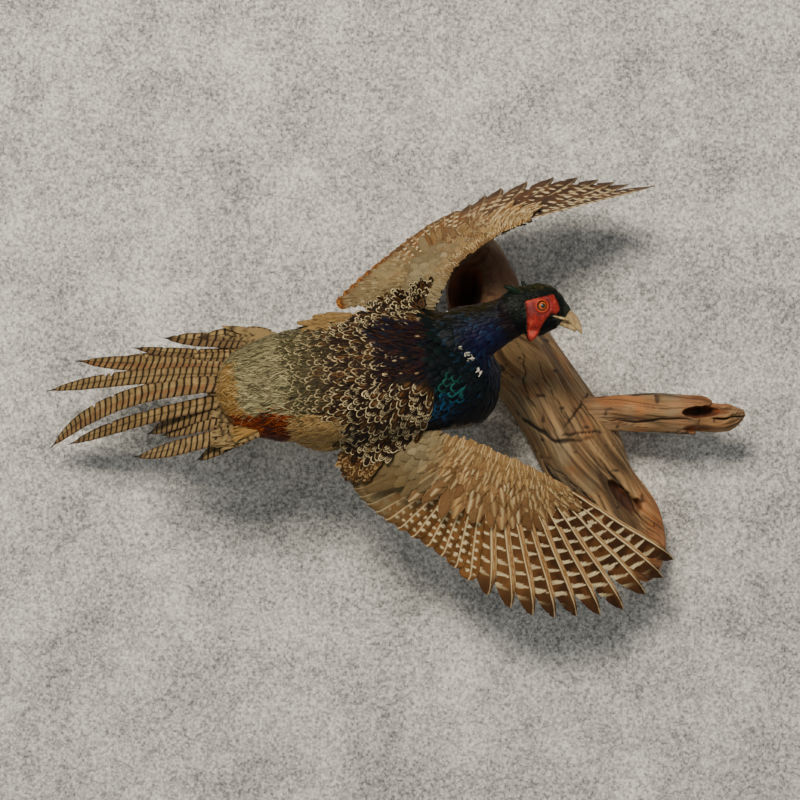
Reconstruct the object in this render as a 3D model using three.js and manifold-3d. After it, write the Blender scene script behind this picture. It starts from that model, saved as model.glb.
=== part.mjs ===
// A cock ring-necked pheasant mounted in flight on driftwood, life size, in millimetres.
// The wall is the plane Y = 0, and the mount stands out from it towards -Y. +Z is up.
// The origin is on the sawn flat back of the driftwood. The bird flies towards +X with its back
// to the viewer, rolled so that its left wing is uppermost.
import * as THREE from "three";
import Module from "manifold-3d";

const wasm = await Module();
wasm.setup();

// Driving sizes
const GAP = 0.3; // between pieces that meet
const ROLL = THREE.MathUtils.degToRad(25); // how far the back is turned up from the viewer
const VANE = 1.0; // thickness of a flight or tail feather's solid
const EYE_RADIUS = 6.4;
const EYE_OUT = 12.8; // from the head's middle plane to an eye's centre
const HEAD_Y = -220;
const WATTLE_RAISED = 1.7;
const ROD_RADIUS = 4;
const PRIMARIES = 10;
const SECONDARIES = 9;
const OVERLAP_TILT = 0.3; // rise of each blade's leading edge over its neighbour

// Body axes: dorsal points out of the back, right points out of the right side
const DORSAL = new THREE.Vector3(0, -Math.cos(ROLL), Math.sin(ROLL));
const RIGHT = new THREE.Vector3(0, -Math.sin(ROLL), -Math.cos(ROLL));
const UP = new THREE.Vector3(0, 0, 1);
const OUT = new THREE.Vector3(0, -1, 0);

// Each row is x, y, z of a section's centre, then its half width and half depth.
const TRUNK = [
  [-399, -174, 34, 22, 15], [-383, -178, 36, 43, 28], [-350, -184, 37, 57, 42],
  [-311, -188, 40, 64, 52], [-268, -190, 46, 67, 58], [-226, -190, 52, 70, 61],
  [-188, -188, 54, 70, 60], [-155, -184, 47, 62, 55], [-126, -181, 39, 48, 45],
  [-107, -179, 36, 24, 24],
];
const NECK = [
  [-182, -190, 66, 46, 40], [-151, -199, 84, 38, 36], [-125, -204, 94, 28, 28],
  [-104, -209, 104, 21, 23], [-88, -214, 112, 17, 22],
];
const HEAD = [
  [-109, -219, 124, 6, 8], [-101, -220, 122, 13, 16], [-88, -220, 120, 17, 23],
  [-72, -220, 118, 18.5, 27.5], [-58, -220, 118, 18, 27], [-46, -220, 116, 14, 20],
  [-37, -220, 114, 8, 12], [-33, -220, 112, 5, 7],
];
const BILL_UPPER = [
  [-44, -220, 118, 5.2, 5], [-36, -220, 115.5, 5.2, 6.4], [-28.5, -220, 109, 4.2, 5.2],
  [-23, -220, 101.5, 2.8, 3.6], [-20, -220, 94.5, 1.2, 1.6],
];
const BILL_LOWER = [
  [-47, -220, 107, 4.6, 3.2], [-40, -220, 104, 4.4, 3.4], [-33, -220, 99.5, 3.4, 3],
  [-28, -220, 95.5, 1.8, 1.8],
];
const WATTLE = [[-83, 127], [-70, 131], [-47, 134], [-39, 116], [-50, 100], [-66, 85], [-77, 90]];
const EAR_TUFTS = {
  right: [[-84, -229, 132, 5], [-93, -230, 138, 3.4], [-101, -230, 141.5, 0.9]],
  left: [[-76, -211, 138, 5], [-80, -211, 144, 3.4], [-83, -211, 148.5, 0.9]],
};

// Wings: the leading edge, the edge of the coverts and the run of feather tips
const WINGS = {
  right: {
    lead: [[-200, -196, 24], [-170, -210, -8], [-136, -208, -18], [-96, -203, -35],
      [-58, -190, -54], [-30, -176, -70]],
    covert: [[-226, -186, 4], [-207, -188, -52], [-166, -187, -76], [-118, -184, -90],
      [-70, -172, -94], [-24, -165, -86]],
    tips: [[-272, -176, -44], [-256, -166, -77], [-223, -158, -108], [-168, -150, -144],
      [-115, -142, -190], [-65, -132, -213], [-16, -122, -215], [37, -112, -208],
      [82, -105, -174], [94, -104, -154]],
    thick: 9,
  },
  left: {
    lead: [[-184, -176, 96], [-168, -199, 129], [-153, -206, 160], [-122, -204, 187],
      [-93, -196, 204], [-70, -185, 215]],
    covert: [[-216, -164, 118], [-212, -150, 150], [-190, -138, 178], [-150, -132, 206],
      [-104, -140, 226], [-62, -158, 228]],
    tips: [[-278, -172, 127], [-253, -140, 156], [-218, -112, 188], [-176, -92, 220],
      [-133, -84, 242], [-97, -80, 261], [-38, -84, 273], [12, -90, 270],
      [45, -98, 264], [73, -106, 261]],
    thick: 9,
  },
};
const WRIST = 0.58; // where along the arm the hand begins

// Tail feathers, top to bottom: root, the point they bow towards, tip, half width
const TAIL = [
  [[-352, -153, 95], [-376, -150, 98], [-432, -130, 92], 6.5],
  [[-366, -157, 86], [-402, -144, 88], [-472, -112, 92], 7],
  [[-366, -161, 76], [-434, -134, 69], [-509, -92, 82], 5],
  [[-366, -165, 70], [-440, -136, 66], [-528, -82, 71], 7.5],
  [[-366, -169, 62], [-458, -131, 61], [-576, -62, 67], 8],
  [[-366, -175, 50], [-490, -128, 56], [-612, -50, 33], 8.5],
  [[-366, -180, 40], [-528, -126, 46], [-608, -44, -32], 9.5],
  [[-366, -184, 28], [-496, -132, 8], [-586, -54, -28], 7],
  [[-366, -188, 20], [-436, -158, 14], [-490, -100, -15], 8],
  [[-364, -193, 8], [-424, -172, 4], [-472, -114, -16], 8.5],
  [[-362, -207, -2], [-434, -186, -27], [-506, -98, -40], 8],
  [[-358, -212, -10], [-392, -200, -20], [-430, -156, -42], 7],
];
const TAIL_COVERTS = [
  [-422, -156, 38, 42, 9], [-406, -166, 38, 52, 11], [-388, -174, 38, 60, 12],
  [-364, -181, 39, 65, 10], [-346, -184, 39, 60, 7],
];

// Thighs and legs are drawn up under the belly, the toes trailing back
const LEGS = {
  right: {
    thigh: [[-262, -176, -6, 16, 14], [-284, -174, -10, 27, 22], [-308, -168, -8, 24, 20],
      [-330, -152, -4, 12, 11], [-340, -141, -3, 6, 6]],
    heel: [-336, -137, -4],
    foot: [-402, -119, 4],
  },
  left: {
    thigh: [[-262, -134, 52, 16, 14], [-284, -128, 52, 25, 21], [-308, -125, 46, 22, 19],
      [-330, -123, 36, 12, 11], [-341, -121, 30, 6, 6]],
    heel: [-336, -120, 29],
    foot: [-402, -104, 33],
  },
};
const TOES = [[-30, 2, 15], [-44, 5, 3], [-30, 9, -9], [9, 8, -6]]; // tip offsets, hind toe last
const SPUR = [-6, 14, -2];

const LOG = [
  [-116, -82, 196, 7, 11],
  [-115, -71, 184, 25, 38],
  [-116, -59, 162, 38, 63],
  [-113, -50, 132, 41, 72],
  [-92, -38, 96, 47, 70],
  [-58, -33, 52, 41, 59],
  [-28, -32, 4, 42, 62],
  [-2, -34, -40, 46, 61],
  [18, -30, -74, 41, 54],
  [42, -28, -110, 42, 56],
  [60, -26, -142, 34, 46],
  [72, -27, -166, 24, 36],
  [80, -30, -182, 8, 14],
];
const BRANCH = [
  [-14, -54, 6, 17, 19], [29, -60, 9, 19, 21], [60, -66, 9, 21, 23], [85, -70, 9, 22, 24.5],
  [115, -74, 8, 22, 25.5], [134, -76, 6, 21, 24.5], [152, -78, 6, 16, 19],
  [168, -80, 8, 9, 10], [178, -81, 9, 3, 4],
];
const HOLLOWS = [
  { at: [-148, -124, 150], radii: [19, 40, 34], lean: 0.2 },
  { at: [40, -79, -82], radii: [9, 22, 25], lean: -0.75 },
];
const BROKEN_END = [
  { at: [158, -97, 4], radii: [26, 14, 7], lean: 1.4 },
  { at: [126, -97, -8], radii: [15, 9, 5], lean: 1.5 },
];
const ROD = [[-84, -66, 62], [-138, -168, 48]];

const vec = (p) => new THREE.Vector3(p[0], p[1], p[2]);
const mix = (a, b, t) => a.map((value, k) => value + (b[k] - value) * t);

// One row of numbers at t = 0 to 1 along a smooth curve through the rows.
function along(rows, t) {
  const at = Math.min(Math.max(t, 0), 1) * (rows.length - 1);
  const i = Math.min(Math.floor(at), rows.length - 2);
  const u = at - i;
  const [b, c] = [rows[i], rows[i + 1]];
  const a = rows[i - 1] ?? b.map((value, k) => 2 * value - c[k]);
  const d = rows[i + 2] ?? c.map((value, k) => 2 * value - b[k]);
  return b.map((value, k) => value + 0.5 * u * (c[k] - a[k]
    + u * (2 * a[k] - 5 * value + 4 * c[k] - d[k]
    + u * (3 * (value - c[k]) + d[k] - a[k]))));
}

// A closed solid from rings of points, each end closed on the ring's middle.
function closed(rings) {
  const sides = rings[0].length;
  const points = rings.flat();
  const faces = [];
  for (let r = 0; r + 1 < rings.length; r += 1) {
    for (let s = 0; s < sides; s += 1) {
      const a = r * sides + s;
      const b = r * sides + ((s + 1) % sides);
      faces.push(a, b, b + sides, a, b + sides, a + sides);
    }
  }
  for (const [ring, first, order] of [[rings[0], 0, 1], [rings.at(-1), points.length - sides, 0]]) {
    const middle = ring.reduce((sum, p) => sum.add(p), new THREE.Vector3());
    const centre = points.push(middle.divideScalar(sides)) - 1;
    for (let s = 0; s < sides; s += 1) {
      const pair = [first + s, first + ((s + 1) % sides)];
      faces.push(centre, pair[order], pair[1 - order]);
    }
  }
  return solid(points, faces);
}

// A manifold solid that faces outwards.
function solid(points, faces) {
  const vertProperties = new Float32Array(points.flatMap((p) => [p.x, p.y, p.z]));
  const make = (list) => new wasm.Manifold(new wasm.Mesh({
    numProp: 3,
    vertProperties,
    triVerts: new Uint32Array(list),
  }));
  const made = make(faces);
  return made.volume() > 0 ? made : make(faces.slice().reverse());
}

// A body swept through sections, grown by `grow` on every side. `lift` is the direction in which
// a section's half depth is measured, and `bump` varies the radius round it and along it.
function swept(rows, lift, sides, stations, grow = 0, bump = () => 1) {
  const rings = [];
  for (let i = 0; i < stations; i += 1) {
    const t = i / (stations - 1);
    const row = along(rows, t);
    const ahead = vec(along(rows, Math.min(t + 0.01, 1)));
    const run = ahead.sub(vec(along(rows, Math.max(t - 0.01, 0)))).normalize();
    const side = new THREE.Vector3().crossVectors(run, lift).normalize();
    const deep = new THREE.Vector3().crossVectors(side, run);
    const end = i === 0 ? -grow : i === stations - 1 ? grow : 0;
    const centre = vec(row).addScaledVector(run, end);
    rings.push(Array.from({ length: sides }, (_, s) => {
      const angle = (2 * Math.PI * s) / sides;
      const size = bump(angle, t);
      return centre.clone()
        .addScaledVector(side, (row[3] * size + grow) * Math.cos(angle))
        .addScaledVector(deep, (row[4] * size + grow) * Math.sin(angle));
    }));
  }
  return closed(rings);
}

// A tapered round rod through rows of x, y, z and radius.
const rod = (rows, sides, stations, grow = 0) => swept(
  rows.map(([x, y, z, r]) => [x, y, z, r, r]),
  Math.abs(rows.at(-1)[2] - rows[0][2]) > Math.abs(rows.at(-1)[0] - rows[0][0]) ? OUT : UP,
  sides,
  stations,
  grow,
);

// An ellipsoid, leaning in the plane of the wall.
function ellipsoid({ at, radii, lean }, grow = 0, sides = 8, stations = 6) {
  const rings = [];
  for (let i = 1; i < stations; i += 1) {
    const polar = (Math.PI * i) / stations;
    rings.push(Array.from({ length: sides }, (_, s) => {
      const angle = (2 * Math.PI * s) / sides;
      return new THREE.Vector3(
        (radii[0] + grow) * Math.sin(polar) * Math.cos(angle),
        (radii[1] + grow) * Math.sin(polar) * Math.sin(angle),
        (radii[2] + grow) * Math.cos(polar),
      ).applyAxisAngle(OUT, -lean).add(vec(at));
    }));
  }
  return closed(rings);
}

// A feather's solid: a thin blade from its root to its tip, bowed towards a point, its leading
// edge tilted up by `tilt` so that neighbours lie over one another like tiles.
function blade(root, bow, tip, half, normal, tilt, widths, grow = 0) {
  const curve = new THREE.QuadraticBezierCurve3(vec(root), vec(bow), vec(tip));
  const rings = widths.map(([t, share]) => {
    const centre = curve.getPoint(t);
    const run = curve.getTangent(t);
    const side = new THREE.Vector3().crossVectors(run, normal).normalize();
    const face = new THREE.Vector3().crossVectors(side, run);
    side.addScaledVector(face, tilt / half);
    const w = half * share + grow;
    const h = VANE / 2 + grow;
    return [[-w, -h], [w, -h], [w, h], [-w, h]].map(([x, y]) => centre.clone()
      .addScaledVector(side, x)
      .addScaledVector(face, y));
  });
  return closed(rings);
}
const PRIMARY_SHAPE = [[0, 0.5], [0.35, 0.95], [0.75, 0.95], [0.93, 0.62], [1, 0.14]];
const SECONDARY_SHAPE = [[0, 0.6], [0.6, 1], [0.93, 0.9], [1, 0.4]];
const TAIL_SHAPE = [[0, 0.6], [0.3, 1], [0.62, 0.95], [0.86, 0.55], [1, 0.1]];

// The thin, rounded panel of a wing's arm, from its leading edge to the edge of its coverts.
function arm(wing, grow = 0, extra = 0) {
  const rings = [];
  const stations = 10;
  for (let i = 0; i < stations; i += 1) {
    const t = i / (stations - 1);
    const lead = vec(along(wing.lead, t));
    const trail = vec(along(wing.covert, t));
    const next = vec(along(wing.lead, Math.min(t + 0.02, 1)));
    const run = next.sub(vec(along(wing.lead, Math.max(t - 0.02, 0)))).normalize();
    const chord = trail.clone().sub(lead);
    const face = new THREE.Vector3().crossVectors(run, chord).normalize();
    const thick = wing.thick * (1 - 0.62 * t);
    const rise = grow + extra;
    const end = run.multiplyScalar(i === 0 ? -grow : i === stations - 1 ? grow : 0);
    const back = chord.clone().normalize();
    rings.push([[0, 0, -1], [0.12, 0.8, 0], [0.45, 0.72, 0], [1, 0.14, 1],
      [1, -0.14, 1], [0.45, -0.48, 0], [0.12, -0.6, 0]].map(([c, h, out]) => lead
      .clone()
      .addScaledVector(chord, c)
      .addScaledVector(back, out * grow)
      .addScaledVector(face, h * thick + Math.sign(h) * rise)
      .add(end)));
  }
  return closed(rings);
}

// The flight feathers, from the innermost, number 0, to the outermost of the hand.
function feathers(wing) {
  const total = SECONDARIES + PRIMARIES;
  return Array.from({ length: total }, (_, i) => {
    const hand = i >= SECONDARIES;
    const k = hand ? i - SECONDARIES : i;
    const s = hand ? (k === PRIMARIES - 1 ? 9 : 4 + 0.5 * k) : (3.6 * k) / (SECONDARIES - 1);
    const q = hand ? WRIST + ((0.97 - WRIST) * k) / (PRIMARIES - 1)
      : 0.16 + ((WRIST - 0.19) * k) / (SECONDARIES - 1);
    const root = mix(along(wing.lead, q), along(wing.covert, q), hand ? 0.85 - 0.05 * k : 0.9);
    const tip = along(wing.tips, s / 9);
    const beside = vec(along(wing.tips, Math.min(s / 9 + 0.03, 1)))
      .sub(vec(along(wing.tips, s / 9 - 0.03)));
    const run = vec(tip).sub(vec(root));
    const normal = new THREE.Vector3().crossVectors(run, beside).normalize();
    const bow = mix(root, tip, 0.5);
    const outer = hand ? 0.045 * k : 0;
    const sag = new THREE.Vector3().crossVectors(normal, run).multiplyScalar(-0.02 - outer * 0.12);
    const lift = vec(bow).add(sag).addScaledVector(normal, -2);
    const half = hand ? 12.5 - 0.1 * k : 13 + 0.1 * k;
    return { root, bow: lift.toArray(), tip, half, normal };
  });
}

const union = (list) => list.reduce((sum, one) => sum.add(one));
const bladesOf = (list, shape, grow = 0) => union(list.map(
  (f) => blade(f.root, f.bow, f.tip, f.half, f.normal, OVERLAP_TILT, shape, grow),
));

// A right or left outline in the plane of the head, cut through one side of it.
function outline(points, near, far) {
  const rings = [near, far].map((y) => points.map(([x, z]) => new THREE.Vector3(x, y, z)));
  return closed(rings);
}

// Weathered wood: long ridges that wind a little along the grain, and a few knots
const bark = (angle, t) => 1 + 0.05 * Math.sin(2 * angle + 3 * t) + 0.06 * Math.sin(3 * angle + 8 * t)
  + 0.045 * Math.sin(5 * angle - 6 * t) + 0.03 * Math.sin(21 * t + angle);
const splinter = (angle, t) => 1 + 0.07 * Math.sin(3 * angle + 4 * t)
  + 0.05 * Math.sin(5 * angle - 3 * t) + 0.03 * Math.sin(17 * t + angle);

const trunk = (grow) => swept(TRUNK, DORSAL, 18, 13, grow);
const neck = (grow) => swept(NECK, UP, 12, 7, grow);
const head = (grow) => swept(HEAD, UP, 12, 9, grow);
const log = (grow) => swept(LOG, OUT, 16, 15, grow, bark);
const eye = (side, grow) => ellipsoid(
  { at: [-62, HEAD_Y - side * EYE_OUT, 121], radii: Array(3).fill(EYE_RADIUS), lean: 0 },
  grow,
  9,
  6,
);
const earTuft = (rows, grow) => rod(rows, 6, 4, grow);

// The bare red skin round one eye, a raised patch that follows the head.
function wattle(side) {
  const patch = outline(WATTLE, HEAD_Y - side * 3, HEAD_Y - side * 40);
  return head(WATTLE_RAISED).intersect(patch).subtract(head(GAP)).subtract(eye(side, GAP));
}

// A leg below the feathered thigh: the scaled shank, its spur and four toes with claws.
function leg({ heel, foot }) {
  const shank = rod([[...heel, 4.6], [...mix(heel, foot, 0.5), 3.6], [...foot, 4.8]], 6, 4);
  const knuckle = ellipsoid({ at: foot, radii: [6, 5.5, 5.5], lean: 0 }, 0, 6, 4);
  const toes = TOES.map(([x, y, z]) => {
    const tip = [foot[0] + x, foot[1] + y, foot[2] + z];
    const middle = mix(foot, tip, 0.55);
    return rod([[...foot, 3.6], [middle[0], middle[1] - 2, middle[2], 3], [...tip, 0.8]], 4, 4);
  });
  const from = mix(heel, foot, 0.66);
  const spurTip = [from[0] + SPUR[0], from[1] + SPUR[1], from[2] + SPUR[2]];
  const spur = rod([[...from, 3.4], [...mix(from, spurTip, 0.6), 2], [...spurTip, 0.6]], 5, 3);
  return union([shank, knuckle, spur, ...toes]);
}

const birds = {};
for (const [side, sign] of [["right", 1], ["left", -1]]) {
  const wing = WINGS[side];
  const all = feathers(wing);
  const hand = all.slice(SECONDARIES);
  const inner = all.slice(0, SECONDARIES);
  birds[side] = {
    sign,
    arm: arm(wing).subtract(trunk(GAP)).subtract(neck(GAP)),
    primaries: bladesOf(hand, PRIMARY_SHAPE).subtract(arm(wing, GAP, 3)),
    secondaries: bladesOf(inner, SECONDARY_SHAPE)
      .subtract(bladesOf(hand, PRIMARY_SHAPE, GAP))
      .subtract(arm(wing, GAP, 3))
      .subtract(trunk(GAP)),
  };
}

const tailBlades = union(TAIL.map(([root, bow, tip, half]) => blade(
  root, bow, tip, half, DORSAL, OVERLAP_TILT, TAIL_SHAPE,
)));
const rodSolid = (grow) => rod(ROD.map((p) => [...p, ROD_RADIUS]), 12, 3, grow);
const thigh = (rows, grow) => swept(rows, UP, 10, 6, grow);
const wall = outline([[-400, -400], [400, -400], [400, 400], [-400, 400]], 0, 200);

const wattles = { right: wattle(1), left: wattle(-1) };
const thighs = { right: thigh(LEGS.right.thigh, 0), left: thigh(LEGS.left.thigh, 0) };
const solids = {
  trunk: [trunk(0).subtract(rodSolid(GAP)), 0x4a3828],
  neck: [neck(0).subtract(trunk(GAP)).subtract(head(GAP)), 0x1a2a40],
  head: [head(0).subtract(eye(1, GAP)).subtract(eye(-1, GAP)), 0x1c3a2c],
  eye_right: [eye(1, 0), 0xd07a2a],
  eye_left: [eye(-1, 0), 0xd07a2a],
  wattle_right: [wattles.right, 0xc8281c],
  wattle_left: [wattles.left, 0xc8281c],
};
for (const side of ["right", "left"]) {
  solids[`ear_tuft_${side}`] = [earTuft(EAR_TUFTS[side], 0).subtract(head(GAP)), 0x14302a];
}
solids.bill_upper = [swept(BILL_UPPER, UP, 7, 6).subtract(head(GAP)), 0xb8a880];
solids.bill_lower = [swept(BILL_LOWER, UP, 7, 5).subtract(head(GAP))
  .subtract(swept(BILL_UPPER, UP, 7, 6, GAP)), 0xa89870];
for (const side of ["right", "left"]) {
  const { arm: panel, primaries, secondaries } = birds[side];
  solids[`wing_${side}_arm`] = [panel, 0xa89c80];
  solids[`wing_${side}_secondaries`] = [secondaries, 0x7a5c3c];
  solids[`wing_${side}_primaries`] = [primaries, 0x4a3020];
  solids[`thigh_${side}`] = [thighs[side].subtract(trunk(GAP)), 0x8e7a58];
  solids[`leg_${side}`] = [leg(LEGS[side]).subtract(thigh(LEGS[side].thigh, GAP)), 0x6e6a60];
}
solids.tail = [tailBlades.add(swept(TAIL_COVERTS, DORSAL, 14, 6)).subtract(trunk(GAP)), 0xa8906a];

const bored = HOLLOWS.reduce((wood, cut) => wood.subtract(ellipsoid(cut)), log(0));
solids.driftwood_log = [bored.subtract(wall).subtract(rodSolid(GAP)), 0x8a6e4e];
solids.driftwood_branch = [BROKEN_END.reduce(
  (wood, cut) => wood.subtract(ellipsoid(cut)),
  swept(BRANCH, OUT, 11, 11, 0, splinter),
).subtract(log(GAP)), 0xb4713a];
solids.support_rod = [rodSolid(0), 0x8c8c8c];

// A named mesh from a solid.
function meshOf(name, body, colour) {
  const { vertProperties, triVerts, numProp } = body.getMesh();
  const positions = new Float32Array(triVerts.length * 3);
  triVerts.forEach((vertex, i) => {
    for (let k = 0; k < 3; k += 1) positions[3 * i + k] = vertProperties[vertex * numProp + k];
  });
  const geometry = new THREE.BufferGeometry();
  geometry.setAttribute("position", new THREE.BufferAttribute(positions, 3));
  geometry.computeVertexNormals();
  const metal = name === "support_rod";
  const mesh = new THREE.Mesh(geometry, new THREE.MeshStandardMaterial({
    color: colour,
    roughness: metal ? 0.35 : 0.8,
    metalness: metal ? 1 : 0,
  }));
  mesh.name = name;
  return mesh;
}

const pheasant = new THREE.Group();
pheasant.name = "pheasant_on_driftwood";
for (const [name, [body, colour]] of Object.entries(solids)) {
  pheasant.add(meshOf(name, body, colour));
}

export default pheasant;
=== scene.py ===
"""A life-size mounted cock pheasant in flight, on a piece of driftwood that hangs on a wall."""

import logging
import math
from collections.abc import Callable, Iterable, Sequence
from dataclasses import dataclass, field
from enum import Enum

import bmesh
import bpy
import numpy as np
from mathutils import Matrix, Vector
from mathutils.bvhtree import BVHTree


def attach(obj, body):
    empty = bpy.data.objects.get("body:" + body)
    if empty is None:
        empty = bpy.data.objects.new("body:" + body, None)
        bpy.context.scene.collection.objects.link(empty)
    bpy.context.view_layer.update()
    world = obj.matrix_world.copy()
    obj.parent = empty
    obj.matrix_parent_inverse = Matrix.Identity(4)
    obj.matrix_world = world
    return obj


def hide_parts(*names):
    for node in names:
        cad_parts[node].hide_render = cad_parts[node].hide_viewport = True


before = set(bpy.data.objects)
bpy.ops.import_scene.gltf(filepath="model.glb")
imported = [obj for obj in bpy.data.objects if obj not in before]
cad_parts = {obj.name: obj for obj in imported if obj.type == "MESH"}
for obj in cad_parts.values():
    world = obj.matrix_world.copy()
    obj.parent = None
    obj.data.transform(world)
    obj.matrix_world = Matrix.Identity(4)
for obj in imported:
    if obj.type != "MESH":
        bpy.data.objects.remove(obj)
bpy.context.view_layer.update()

LOG = logging.getLogger("pheasant")
Array = np.ndarray
Tone = np.ndarray | str  # linear colours, or one sRGB hex code
Box = tuple[float, float, float, float]  # left, bottom, right and top on the baked map

MM = 0.001  # the sizes in this file are millimetres
ROLL = math.radians(25)  # the bird's back is turned this far up from facing the room
DORSAL = np.array([0.0, -math.cos(ROLL), math.sin(ROLL)])
RIGHT = np.array([0.0, -math.sin(ROLL), -math.cos(ROLL)])
UP = np.array([0.0, 0.0, 1.0])
OUT = np.array([0.0, -1.0, 0.0])  # out of the wall
HEAD_Y = -220.0
PATCH = 0.003  # a small feather's patch on the baked map
WHOLE: Box = (0.02, 0.02, 0.98, 0.98)


# ---------------------------------------------------------------- numbers and colours


def unit(v: Array) -> Array:
    """Vectors of length one along v's last axis."""
    return v / np.maximum(np.linalg.norm(v, axis=-1, keepdims=True), 1e-9)


def flatten(v: Array, facing: Array) -> Array:
    """The part of v that lies along a surface with this facing."""
    return v - facing * (v * facing).sum(axis=-1, keepdims=True)


def step(x: Array | float, low: Array | float, high: Array | float) -> Array:
    """A smooth rise from 0 at low to 1 at high."""
    t = np.clip((x - low) / (high - low), 0, 1)
    return t * t * (3 - 2 * t)


def band(x: Array, low: float, high: Array | float, soft: float) -> Array:
    """1 between low and high, with edges that are soft wide."""
    return step(x, low - soft, low + soft) * (1 - step(x, high - soft, high + soft))


def bell(x: Array, wide: float) -> Array:
    """A rounded bump of height 1 at x = 0."""
    return np.exp(-(x / wide) ** 2)


def per(values: Array) -> Array:
    """One value to a feather, to be used on all its points."""
    return values[:, None, None]


def linear(code: str) -> Array:
    """An sRGB hex colour as linear red, green and blue."""
    value = np.array([int(code[i:i + 2], 16) for i in (1, 3, 5)]) / 255
    return np.where(value <= 0.04045, value / 12.92, ((value + 0.055) / 1.055) ** 2.4)


def blend(a: Tone, b: Tone, share: Array | float) -> Array:
    """Colours or points mixed.

    Args:
        a: The first, with colour or place on the last axis, or a hex code.
        b: The second.
        share: How much of b each takes, without the last axis.

    Returns:
        The mixed values.
    """
    a, b = (linear(c) if isinstance(c, str) else c for c in (a, b))
    weight = np.asarray(share)[..., None]
    return a * (1 - weight) + b * weight


def layers(base: Tone, *coats: tuple[Tone, Array | float]) -> Array:
    """A base colour with coats laid over it in turn, each a colour and its share."""
    for tone, share in coats:
        base = blend(base, tone, share)
    return base


def along(rows: Sequence[Sequence[float]] | Array, t: Array | float) -> Array:
    """A smooth curve through rows of numbers.

    Args:
        rows: The rows, evenly spaced.
        t: Places from 0 at the first row to 1 at the last.

    Returns:
        A row to each place.
    """
    rows = np.asarray(rows, dtype=float)
    rows = np.concatenate([2 * rows[:1] - rows[1:2], rows, 2 * rows[-1:] - rows[-2:-1]])
    at = np.clip(np.asarray(t, dtype=float), 0, 1) * (len(rows) - 3)
    i = np.minimum(at.astype(int), len(rows) - 4)
    u = (at - i).reshape(at.shape + (1,) * (rows.ndim - 1))
    a, b, c, d = (rows[i + k] for k in range(4))
    return b + 0.5 * u * (c - a + u * (2 * a - 5 * b + 4 * c - d + u * (3 * (b - c) + d - a)))


def noise(points: Array, seed: int = 0) -> Array:
    """Smooth random values from -1 to 1, one bump to a unit.

    Args:
        points: Places, with x, y and z on the last axis.
        seed: Which pattern it is.

    Returns:
        One value to each point.
    """
    cell = np.floor(points).astype(np.int64)
    ease = (points - cell) ** 2 * (3 - 2 * (points - cell))
    total = np.zeros(points.shape[:-1])
    for corner in range(8):
        bits = np.array([corner & 1, corner >> 1 & 1, corner >> 2 & 1])
        key = (cell + bits) * np.array([73856093, 19349663, 83492791])
        mixed = (key[..., 0] ^ key[..., 1] ^ key[..., 2]) + seed * 7919
        mixed = (mixed ^ (mixed >> 13)) * 1274126177
        mixed = (mixed ^ (mixed >> 16)) * 2246822519
        value = ((mixed >> 9) & 0xFFFF) / 32767.5 - 1
        total += value * np.prod(np.where(bits, ease, 1 - ease), axis=-1)
    return total


def plane_noise(x: Array, y: Array | float, seed: Array | int = 0) -> Array:
    """noise() on a plane; seed may differ from point to point."""
    return noise(np.stack(np.broadcast_arrays(x, y, np.asarray(seed) * 3.7), axis=-1))


# ---------------------------------------------------------------- meshes


@dataclass
class Grids:
    """Grids of points that become one mesh, with its colours and maps."""

    name: str
    parts: list[tuple[Array, ...]] = field(default_factory=list)
    count: int = 0

    def add(self, points: Array, tint: Array, vane: Array, bake: Array) -> None:
        """Adds grids of the same size.

        Args:
            points: Places in mm, of shape (grids, rows, columns, 3), or without the first axis.
            tint: Linear colours that fit points.
            vane: Places on each grid in mm, for the fine pattern, of shape (..., 2).
            bake: Places on the baked map, of shape (..., 2).
        """
        points = points if points.ndim == 4 else points[None]
        n, rows, columns = shape = points.shape[:3]
        if not n:
            return
        corner = (np.arange(rows - 1)[:, None] * columns + np.arange(columns - 1)).ravel()
        quad = np.stack([corner, corner + 1, corner + columns + 1, corner + columns], axis=1)
        first = self.count + np.arange(n)[:, None, None] * rows * columns
        fitted = [np.broadcast_to(a, (*shape, a.shape[-1])).reshape(-1, a.shape[-1])
                  for a in (tint, vane, bake)]
        self.parts.append((points.reshape(-1, 3), (quad + first).reshape(-1, 4), *fitted))
        self.count += n * rows * columns

    def make(self, material: bpy.types.Material, weld: bool = False) -> bpy.types.Object:
        """The finished object; weld joins points in the same place, for closed shapes."""
        points, *rest = (np.concatenate(a) for a in zip(*self.parts))
        return mesh_object(self.name, points * MM, material, *rest, weld)


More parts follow.
